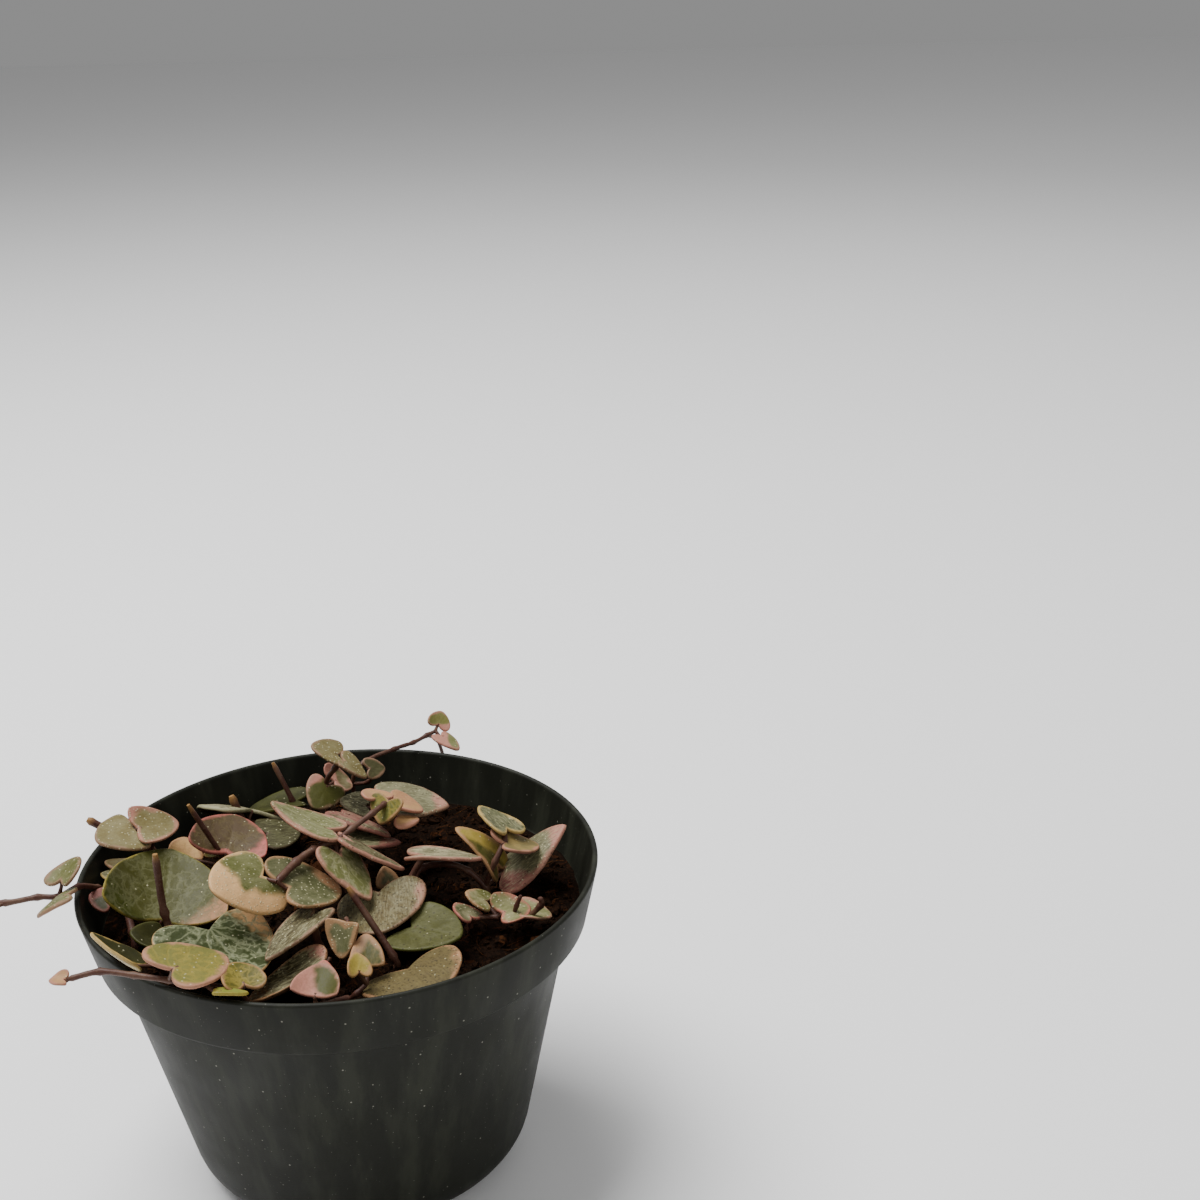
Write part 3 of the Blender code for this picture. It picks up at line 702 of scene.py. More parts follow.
crumbs = scatter("soil_crumbs", LUMPS, 2.2 * MM, Density=180000.0, Seed=3, Smallest=0.35 * MM,
                 Largest=1.9 * MM, Flatness=0.75, Lift=0.1 * MM, Material=CRUMB)
chips = scatter("soil_chips", LUMPS, 3.5 * MM, Density=12000.0, Seed=11, Smallest=1.2 * MM,
                Largest=3.6 * MM, Flatness=0.28, Lift=0.3 * MM, Material=PEAT)
fibres = scatter("soil_fibres", STRANDS, 4.0 * MM, Density=60000.0, Seed=7, Smallest=1.2 * MM,
                 Largest=4.2 * MM, Flatness=0.8, Lift=0.5 * MM, Material=FIBRE)

# %% [markdown]
# ## Stems
# A stem is a wire of about a millimetre with swollen joints where leaves sat, purple-brown, and
# tan where it was cut. Each one follows a smooth route through a few points, so a tree turns the
# routes into curves and sweeps a round section along them, as thick as the attribute `thick` says.


# %% Tree: stems
def stem_tree():
    """Sweeps a round section along chains of points."""
    tree, start = geometry_tree("swept_stems", [("Sides", "Int", 12),
                                                ("Material", "Material", None)])
    line = add(tree, "GeometryNodeMeshToCurve", {"Mesh": start.outputs["Geometry"]})
    ring = add(tree, "GeometryNodeCurvePrimitiveCircle", {"Resolution": start.outputs["Sides"],
                                                          "Radius": 1.0})
    thick = add(tree, "GeometryNodeInputNamedAttribute", {"Name": "thick"}, data_type="FLOAT")
    swept = add(tree, "GeometryNodeCurveToMesh", {
        "Curve": line.outputs[0], "Profile Curve": ring.outputs[0],
        "Scale": thick.outputs[0], "Fill Caps": True})
    smooth = add(tree, "GeometryNodeSetShadeSmooth", {"Geometry": swept.outputs[0]})
    close_tree(tree, smooth.outputs[0], start.outputs["Material"])
    return tree


STEMS = stem_tree()


def place(point):
    """(x, y, height over the soil) in millimetres to a point in the frame, in metres."""
    return Vector((point[0] * MM, point[1] * MM, SOIL_TOP + point[2] * MM))


def smooth_route(points, parts):
    """A Catmull-Rom curve through the points, with parts pieces to each span."""
    ends = [points[0] * 2 - points[1]] + list(points) + [points[-1] * 2 - points[-2]]
    route = []
    for a, b, c, d in zip(ends, ends[1:], ends[2:], ends[3:]):
        for part in range(parts):
            t = part / parts
            route.append(0.5 * (2 * b + (c - a) * t + (2 * a - 5 * b + 4 * c - d) * t * t
                                + (3 * b - a - 3 * c + d) * t * t * t))
    return route + [points[-1]]


def stem_finish():
    """Purple-brown skin with green and grey flecks; the attribute tan bleaches the cut ends."""
    material, tree, shader = principled("stem_skin", 0.45, Specular_IOR_Level=0.25)
    broad, fine = uneven(tree, 220.0, 1500.0)
    colour = blend(tree, step_up(tree, broad, 0.35, 0.7), rgb(72, 42, 34), rgb(92, 66, 52))
    colour = blend(tree, maths(tree, "MULTIPLY", step_up(tree, fine, 0.5, 0.75), 0.5), colour,
                   rgb(112, 90, 70))
    pale = add(tree, "ShaderNodeAttribute", attribute_name="tan").outputs["Fac"]
    colour = blend(tree, pale, colour, rgb(140, 104, 58))
    tree.links.new(colour, shader.inputs["Base Color"])
    bump = add(tree, "ShaderNodeBump", {"Height": fine, "Strength": 0.35, "Distance": 0.0003})
    tree.links.new(bump.outputs[0], shader.inputs["Normal"])
    return material


STEM_SKIN = stem_finish()
NODE_SWELL = 0.35
NODE_REACH = 1.1 * MM
CUT_REACH = 1.3 * MM
IN = -6.0


def stem_chain(radius, cut, points):
    """Points along one stem with its thickness and tan share at each; cut is 0 or -1 or None."""
    spots = [place(p) for p in points]
    route = smooth_route(spots, 8)
    joints = spots[1:-1] if len(spots) > 2 else []
    thick, tan = [], []
    for number, point in enumerate(route):
        swell = max([0.0] + [1 - (point - j).length / NODE_REACH for j in joints])
        wobble = 0.10 * noise.noise(point * 700)
        size = radius * MM * (1 + NODE_SWELL * swell + wobble)
        share = 0.0
        if cut is not None:
            reach = (point - spots[cut]).length
            share = max(0.0, 1 - reach / CUT_REACH) ** 0.5
            size *= 1 + 0.15 * share
        thick.append(size)
        tan.append(share)
    for end in (0, -1):
        thick[end] *= 0.55
    return route, thick, tan


# %% [markdown]
# ## Leaves
# A string-of-hearts leaf is a small succulent: a heart outline about a millimetre thick, with a
# rounded edge, a trough or a hump along the midrib and a wavy face. Every leaf is its own mesh:
# rings that shrink from the outline to a centre on both faces, close together at the edge for
# its rounding. A leaf's place and turn are those of the frame's solid.
#
# Colour differs more from leaf to leaf than any one pattern could say, so the mesh carries it: for
# each leaf its ground, patch, edge and vein colours and how strongly it is veined, pimpled and
# speckled are attributes, and one shader group turns them into skin.


# %% Leaf outline
def heart(share, length, width, lobe, tip):
    """Outline of a heart: share runs 0 to 1 from the notch round the tip and back."""
    angle = 2 * math.pi * share
    along = (5 - (13 * math.cos(angle) - 5 * math.cos(2 * angle)
                  - 2 * math.cos(3 * angle) - math.cos(4 * angle))) / 22
    if along < 0:
        along *= lobe
    power = 2.0 if math.cos(angle) > 0 else tip
    across = math.copysign(abs(math.sin(angle)) ** power, math.sin(angle))
    return along * length, across * width / 2


def even_outline(length, width, lobe, tip, count):
    """The heart again, as count points evenly spaced along it from the notch."""
    fine = [heart(k / 720, length, width, lobe, tip) for k in range(721)]
    run = [0.0]
    for (a, b), (c, d) in zip(fine, fine[1:]):
        run.append(run[-1] + math.hypot(c - a, d - b))
    wanted = np.linspace(0, run[-1], count + 1)[:-1]
    return list(zip(np.interp(wanted, run, [p[0] for p in fine]),
                    np.interp(wanted, run, [p[1] for p in fine])))


# %% [markdown]
# The paints below are named for what is seen on this plant. They are base colours, chosen so that
# under this light they look like the real leaf. A leaf names four of them: the ground of its face,
# its edge, its veins and streaks, and its underside. Pimples are the same pale grey on every leaf,
# partly their own tone and partly a painted highlight on each raised dot.
# A pattern says how strongly a leaf is veined, pimpled, streaked and speckled.


# %% Paints and patterns
PAINTS = {
    "deep_green": rgb(44, 52, 16), "dark_olive": rgb(40, 40, 12), "olive": rgb(64, 64, 22),
    "moss_dark": rgb(58, 62, 16), "moss": rgb(80, 82, 36), "light_olive": rgb(104, 102, 48),
    "light_sage": rgb(98, 100, 56), "yellow_olive": rgb(72, 69, 10),
    "yellow_green": rgb(112, 120, 46), "grey_olive": rgb(59, 55, 31), "sage": rgb(72, 74, 44),
    "silver_green": rgb(91, 88, 61), "tan_olive": rgb(106, 95, 56), "beige": rgb(87, 75, 44),
    "dusk": rgb(72, 57, 38), "brown_silver": rgb(70, 61, 35), "cream": rgb(200, 158, 108),
    "straw": rgb(140, 124, 52), "pale": rgb(186, 156, 92), "pink": rgb(170, 116, 100),
    "bright_pink": rgb(170, 92, 84), "rose": rgb(124, 74, 66), "dusty_pink": rgb(142, 108, 86),
    "salmon": rgb(160, 118, 84), "silver": rgb(150, 146, 112), "white": rgb(200, 188, 150),
    "vein_silver": rgb(98, 98, 66), "vein_white": rgb(126, 130, 98),
    "orange_brown": rgb(87, 55, 18),
}
# pattern: veins, share of pimples, streaks, share of specks
PATTERNS = {
    "plain": (0.15, 0.10, 0.10, 0.0), "veined": (0.75, 0.15, 0.10, 0.0),
    "marbled": (0.75, 0.10, 0.00, 0.0), "marbled_strong": (1.10, 0.15, 0.00, 0.0),
    "pimpled": (0.10, 1.00, 0.15, 0.0), "streaked": (0.15, 0.45, 0.80, 0.1),
    "striated": (0.10, 0.35, 1.00, 0.5), "speckled": (0.25, 0.15, 0.45, 0.9),
    "dotted": (0.30, 0.10, 0.20, 0.3),
}
PATTERN_NAMES = ("veins", "pimples", "streaks", "specks")
print(len(PAINTS), "paints,", len(PATTERNS), "patterns")

# %% [markdown]
# ### The blade
# The palmate veins of the frame's leaf run out from the notch and curve towards the tip. The same
# rule sinks them into the mesh here and draws them in the skin's shader group further down.


# %% Blade
VEIN_SPREAD = 0.62
VEIN_CURVE = 0.55
VEIN_DEPTH = 0.10 * MM
BLADE_CENTRE = 0.33
RIM_STEPS = (0.0, 0.06, 0.25, 0.6, 1.0)
NOTCH_BACK = 0.4 * MM


def vein_reach(along, across, length):
    """Distance from a spot on the leaf to the nearest palmate vein, in metres."""
    out = math.hypot(along + NOTCH_BACK, across)
    bow = 1 + VEIN_CURVE * out / length
    turn = abs(math.atan2(across, along + NOTCH_BACK)) * bow
    part = turn % VEIN_SPREAD
    return min(part, VEIN_SPREAD - part) * out / bow


class Leaf:
    """One heart leaf, placed as its solid in the frame is."""

    def __init__(self, notch, heading, rise, roll, length, width, paints, pattern, margin,
                 cup=0.06, bend=-0.06, lobe=0.7, tip=1.08, patches=(), wave=1.0):
        self.notch = place(notch)
        self.length, self.width = length * MM, width * MM
        self.cup, self.bend = cup, bend
        self.lobe, self.tip, self.wave = lobe, tip, wave
        self.paints = dict(zip(("ground", "edge", "vein", "under"), paints.split()))
        self.strengths = dict(zip(PATTERN_NAMES, PATTERNS[pattern]), margin_width=margin)
        self.patches = patches
        turned, raised, rolled = (math.radians(v) for v in (heading, rise, roll))
        self.along = Vector((math.cos(turned) * math.cos(raised),
                             math.sin(turned) * math.cos(raised), math.sin(raised)))
        level_side = Vector((-math.sin(turned), math.cos(turned), 0.0))
        self.across = (level_side * math.cos(rolled)
                       + self.along.cross(level_side) * math.sin(rolled))
        self.normal = self.along.cross(self.across)
        self.half = (0.34 + 9.0 * min(self.width, self.length)) * MM

    def surface(self, along, across, offset):
        """A point of the blade, offset along its normal."""
        rise = (self.cup * self.width * (2 * across / self.width) ** 2
                + self.bend * self.length * (along / self.length) ** 2)
        return (self.notch + self.along * along + self.across * across
                + self.normal * (rise + offset))

    def patch_at(self, along, across):
        """The strongest patch at a spot: how far inside it the spot lies, and its paint.
        A patch is (paint, direction in degrees from the tip, start), in half leaf sizes."""
        best = (-1.0, self.paints["ground"])
        x = 2 * along / self.length - 1
        y = 2 * across / self.width
        for paint, angle, start in self.patches:
            turned = math.radians(angle)
            best = max(best, (math.cos(turned) * x + math.sin(turned) * y - start, paint))
        return best

    def build(self, bm, layers):
        """Add the blade to a bmesh, with its attributes."""
        around = int(min(120, max(36, (self.length + self.width) / MM * 2.6)))
        inner = int(min(20, max(6, self.width / MM * 0.75)))
        outline = even_outline(self.length, self.width, self.lobe, self.tip, around)
        centre = (BLADE_CENTRE * self.length, 0.0)

        def spot(k, inset, share, side):
            a, c = outline[k]
            away = math.hypot(a - centre[0], c - centre[1])
            left = max(0.0, (away - inset)) / away * share
            a = centre[0] + (a - centre[0]) * left
            c = centre[1] + (c - centre[1]) * left
            margin = away * (1 - left)
            return self.vertex(bm, layers, a, c, margin, side)

        rim = [spot(k, 0.0, 1.0, 0) for k in range(around)]
        for side, parts in ((1, inner), (-1, max(4, inner // 2))):
            rings = [rim]
            for step in RIM_STEPS[1:]:
                rings.append([spot(k, step * self.half, 1.0, side) for k in range(around)])
            for part in range(1, parts):
                share = 1 - part / parts
                rings.append([spot(k, RIM_STEPS[-1] * self.half, share, side)
                              for k in range(around)])
            middle = self.vertex(bm, layers, *centre, self.width / 2, side)
            for outer, nearer in zip(rings, rings[1:]):
                for k in range(around):
                    after = (k + 1) % around
                    face = (outer[k], outer[after], nearer[after], nearer[k])
                    bm.faces.new(face if side > 0 else face[::-1])
            for k in range(around):
                face = (rings[-1][k], rings[-1][(k + 1) % around], middle)
                bm.faces.new(face if side > 0 else face[::-1])

    def vertex(self, bm, layers, a, c, margin, side):
        """One vertex: its height over the middle face, and what it carries."""
        near = min(1.0, margin / self.half)
        height = side * self.half * math.sqrt(max(0.0, 1 - (1 - near) ** 2))
        inside = min(1.0, margin / (2.5 * MM))
        base = self.surface(a, c, 0.0)
        ripple = noise.noise(base * 330) * 0.16 * MM * self.wave * (1 - 0.6 * inside)
        quilt = noise.noise(base * 620 + Vector((4, 4, 4))) * 0.09 * MM * inside
        sunk = 0.0
        if side > 0:
            reach = vein_reach(a, c, self.length)
            sunk = -VEIN_DEPTH * inside * math.exp(-(reach / (0.45 * MM)) ** 2)
            sunk *= 0.4 + 0.8 * self.strengths["veins"]
        vert = bm.verts.new(self.surface(a, c, height + ripple + quilt + sunk))
        zone, patch = self.patch_at(a, c)
        vert[layers["margin"]] = margin / MM
        vert[layers["zone"]] = zone if side >= 0 else -1.0
        vert[layers["leaf_place"]] = Vector((a / MM, c / MM, self.length / MM))
        vert[layers["ground"]] = PAINTS[self.paints["ground" if side >= 0 else "under"]]
        vert[layers["patch"]] = PAINTS[patch]
        vert[layers["edge"]] = PAINTS[self.paints["edge"]]
        vert[layers["vein"]] = PAINTS[self.paints["vein"]]
        for name, strength in self.strengths.items():
            faded = side < 0 and name != "margin_width"
            vert[layers[name]] = strength * (0.3 if faded else 1.0)
        return vert


FLOAT_LAYERS = ("margin", "zone", "margin_width") + PATTERN_NAMES
COLOUR_LAYERS = ("ground", "patch", "edge", "vein")
print("leaf rule ready:", len(FLOAT_LAYERS) + len(COLOUR_LAYERS) + 1, "attributes")


# %% [markdown]
# ### Leaf skin
# The group reads the attributes and returns the colour, the height for a bump and the roughness.
# Each of the four leaf materials places it with its own pimple and network scales.


# %% Shader group: leaf skin
def attribute(tree, name, socket="Fac"):
    """An attribute of the mesh."""
    return add(tree, "ShaderNodeAttribute", attribute_name=name).outputs[socket]


def leaf_group():
    """Veins, network, pimples, specks and margin over the leaf's own colours."""
    tree = bpy.data.node_groups.new("leaf_skin", "ShaderNodeTree")
    sockets(tree, "INPUT", [("Network Scale", "Float", 480.0), ("Pimple Scale", "Float", 1500.0),
                            ("Speck Scale", "Float", 1100.0)])
    sockets(tree, "OUTPUT", [("Colour", "Color", None), ("Height", "Float", None),
                             ("Roughness", "Float", None)])
    start = add(tree, "NodeGroupInput")
    place_at = add(tree, "ShaderNodeTexCoord").outputs["Object"]
    broad, fine = uneven(tree, 260.0, 2400.0)
    wander = maths(tree, "SUBTRACT", broad, 0.5)

    spot = add(tree, "ShaderNodeSeparateXYZ", {0: attribute(tree, "leaf_place", "Vector")})
    along = maths(tree, "ADD", spot.outputs[0], NOTCH_BACK / MM)
    across = spot.outputs[1]
    out = maths(tree, "SQRT", maths(tree, "ADD", maths(tree, "MULTIPLY", along, along),
                                    maths(tree, "MULTIPLY", across, across)))
    bow = maths(tree, "ADD", maths(tree, "MULTIPLY", maths(tree, "DIVIDE", out, spot.outputs[2]),
                                   VEIN_CURVE), 1.0)
    turn = maths(tree, "MULTIPLY", maths(tree, "ARCTAN2", across, along), bow)
    turn = maths(tree, "ADD", turn, maths(tree, "MULTIPLY", wander, 0.9))
    reach = maths(tree, "DIVIDE", maths(tree, "MULTIPLY", maths(
        tree, "PINGPONG", turn, VEIN_SPREAD / 2), out), bow)
    main = maths(tree, "MULTIPLY", step_up(tree, reach, 0.40, 0.05), 0.6)

    bent = add(tree, "ShaderNodeTexNoise", {"Vector": place_at, "Scale": 380.0, "Detail": 4.0,
                                            "Roughness": 0.6})
    shift = add(tree, "ShaderNodeVectorMath", {0: bent.outputs["Color"], "Scale": 0.0040},
                operation="SCALE")
    moved = add(tree, "ShaderNodeVectorMath", {0: place_at, 1: shift.outputs[0]},
                operation="ADD")
    net = add(tree, "ShaderNodeTexVoronoi", {"Vector": moved.outputs[0],
                                             "Scale": start.outputs[0]},
              feature="DISTANCE_TO_EDGE")
    network = maths(tree, "MULTIPLY", step_up(tree, net.outputs["Distance"], 0.20, 0.02),
                    step_up(tree, broad, 0.36, 0.52))
    lines = maths(tree, "MAXIMUM", main, maths(tree, "MULTIPLY", network, 0.85))
    veined = maths(tree, "MULTIPLY", lines, attribute(tree, "veins"), clamp=True)

    def placed_dots(scale, size, share):
        made = add(tree, "ShaderNodeGroup", {0: scale, 1: size, 2: share}, node_tree=DOTS)
        return made.outputs[0]

    pimple = placed_dots(start.outputs[1], 0.27, attribute(tree, "pimples"))
    speck = placed_dots(start.outputs[2], 0.36, attribute(tree, "specks"))
    stretched = add(tree, "ShaderNodeCombineXYZ", {
        0: maths(tree, "MULTIPLY", along, 0.55), 1: maths(tree, "MULTIPLY", across, 3.2),
        2: maths(tree, "MULTIPLY", spot.outputs[2], 3.0)})
    streak_noise = add(tree, "ShaderNodeTexNoise", {"Vector": stretched.outputs[0], "Scale": 1.0,
                                                    "Detail": 3.0, "Roughness": 0.6})
    streak = maths(tree, "MULTIPLY", step_up(tree, streak_noise.outputs["Fac"], 0.47, 0.64),
                   attribute(tree, "streaks"))
    groove = maths(tree, "MULTIPLY", step_up(tree, streak_noise.outputs["Fac"], 0.46, 0.34),
                   attribute(tree, "streaks"))

    ground = blend(tree, maths(tree, "MULTIPLY", step_up(tree, broad, 0.35, 0.7), 0.25),
                   attribute(tree, "ground", "Color"), attribute(tree, "vein", "Color"))
    border = maths(tree, "ADD", attribute(tree, "zone"), maths(tree, "MULTIPLY", wander, 0.6))
    colour = blend(tree, step_up(tree, border, -0.16, 0.16), ground,
                   attribute(tree, "patch", "Color"))
    colour = blend(tree, maths(tree, "MULTIPLY", veined, 0.8), colour,
                   attribute(tree, "vein", "Color"))
    colour = blend(tree, maths(tree, "MULTIPLY", streak, 0.65), colour,
                   attribute(tree, "vein", "Color"))
    colour = blend(tree, maths(tree, "MULTIPLY", groove, 0.45), colour, rgb(34, 28, 14))
    edge_at = maths(tree, "DIVIDE", attribute(tree, "margin"),
                    maths(tree, "MAXIMUM", attribute(tree, "margin_width"), 0.05))
    edge_at = maths(tree, "ADD", edge_at, maths(tree, "MULTIPLY", wander, -5.0))
    edged = step_up(tree, edge_at, 1.7, 0.1)
    colour = blend(tree, maths(tree, "MULTIPLY", edged, 0.75), colour,
                   attribute(tree, "edge", "Color"))
    # painted highlight: the pimples are blended to a pale grey, partly their own tone and partly the
    # light that each raised dot catches
    colour = blend(tree, maths(tree, "MULTIPLY", pimple, 0.75), colour, rgb(190, 184, 148))
    colour = blend(tree, maths(tree, "MULTIPLY", speck, 0.7), colour, rgb(34, 26, 12))
    grain = add(tree, "ShaderNodeMapRange", {"Value": fine, "From Min": 0.3, "From Max": 0.7,
                                             "To Min": 0.86, "To Max": 1.12})
    shade_of = add(tree, "ShaderNodeCombineColor", {0: grain.outputs[0], 1: grain.outputs[0],
                                                    2: grain.outputs[0]})
    colour = blend(tree, 1.0, colour, shade_of.outputs[0], "MULTIPLY")

    height = maths(tree, "SUBTRACT", maths(tree, "MULTIPLY", pimple, 0.9),
                   maths(tree, "MULTIPLY", maths(tree, "ADD", veined, groove), 0.5))
    height = maths(tree, "ADD", height, maths(tree, "MULTIPLY", fine, 0.35))
    rough = add(tree, "ShaderNodeMapRange", {"Value": fine, "From Min": 0.3, "From Max": 0.7,
                                             "To Min": 0.42, "To Max": 0.6})
    add(tree, "NodeGroupOutput", {0: colour, 1: height, 2: rough.outputs[0]})
    return tree


LEAF_GROUP = leaf_group()


def leaf_finish(name, network, pimple, speck):
    """A leaf material: the shared skin at its own scales."""
    material, tree, shader = principled(name, 0.5, Specular_IOR_Level=0.2)
    skin = add(tree, "ShaderNodeGroup", {0: network, 1: pimple, 2: speck}, node_tree=LEAF_GROUP)
    tree.links.new(skin.outputs[0], shader.inputs["Base Color"])
    tree.links.new(skin.outputs[2], shader.inputs["Roughness"])
    bump = add(tree, "ShaderNodeBump", {"Height": skin.outputs[1], "Strength": 0.5,
                                        "Distance": 0.00025})
    tree.links.new(bump.outputs[0], shader.inputs["Normal"])
    return material


LEAF_FINISHES = {
    "leaf_green": leaf_finish("leaf_green_skin", 430.0, 1100.0, 1000.0),
    "leaf_tan": leaf_finish("leaf_tan_skin", 560.0, 1250.0, 1300.0),
    "leaf_dusky": leaf_finish("leaf_dusky_skin", 400.0, 1200.0, 1100.0),
    "leaf_cream": leaf_finish("leaf_cream_skin", 520.0, 1150.0, 1200.0),
}
print(len(LEAF_FINISHES), "leaf materials share the group", LEAF_GROUP.name)

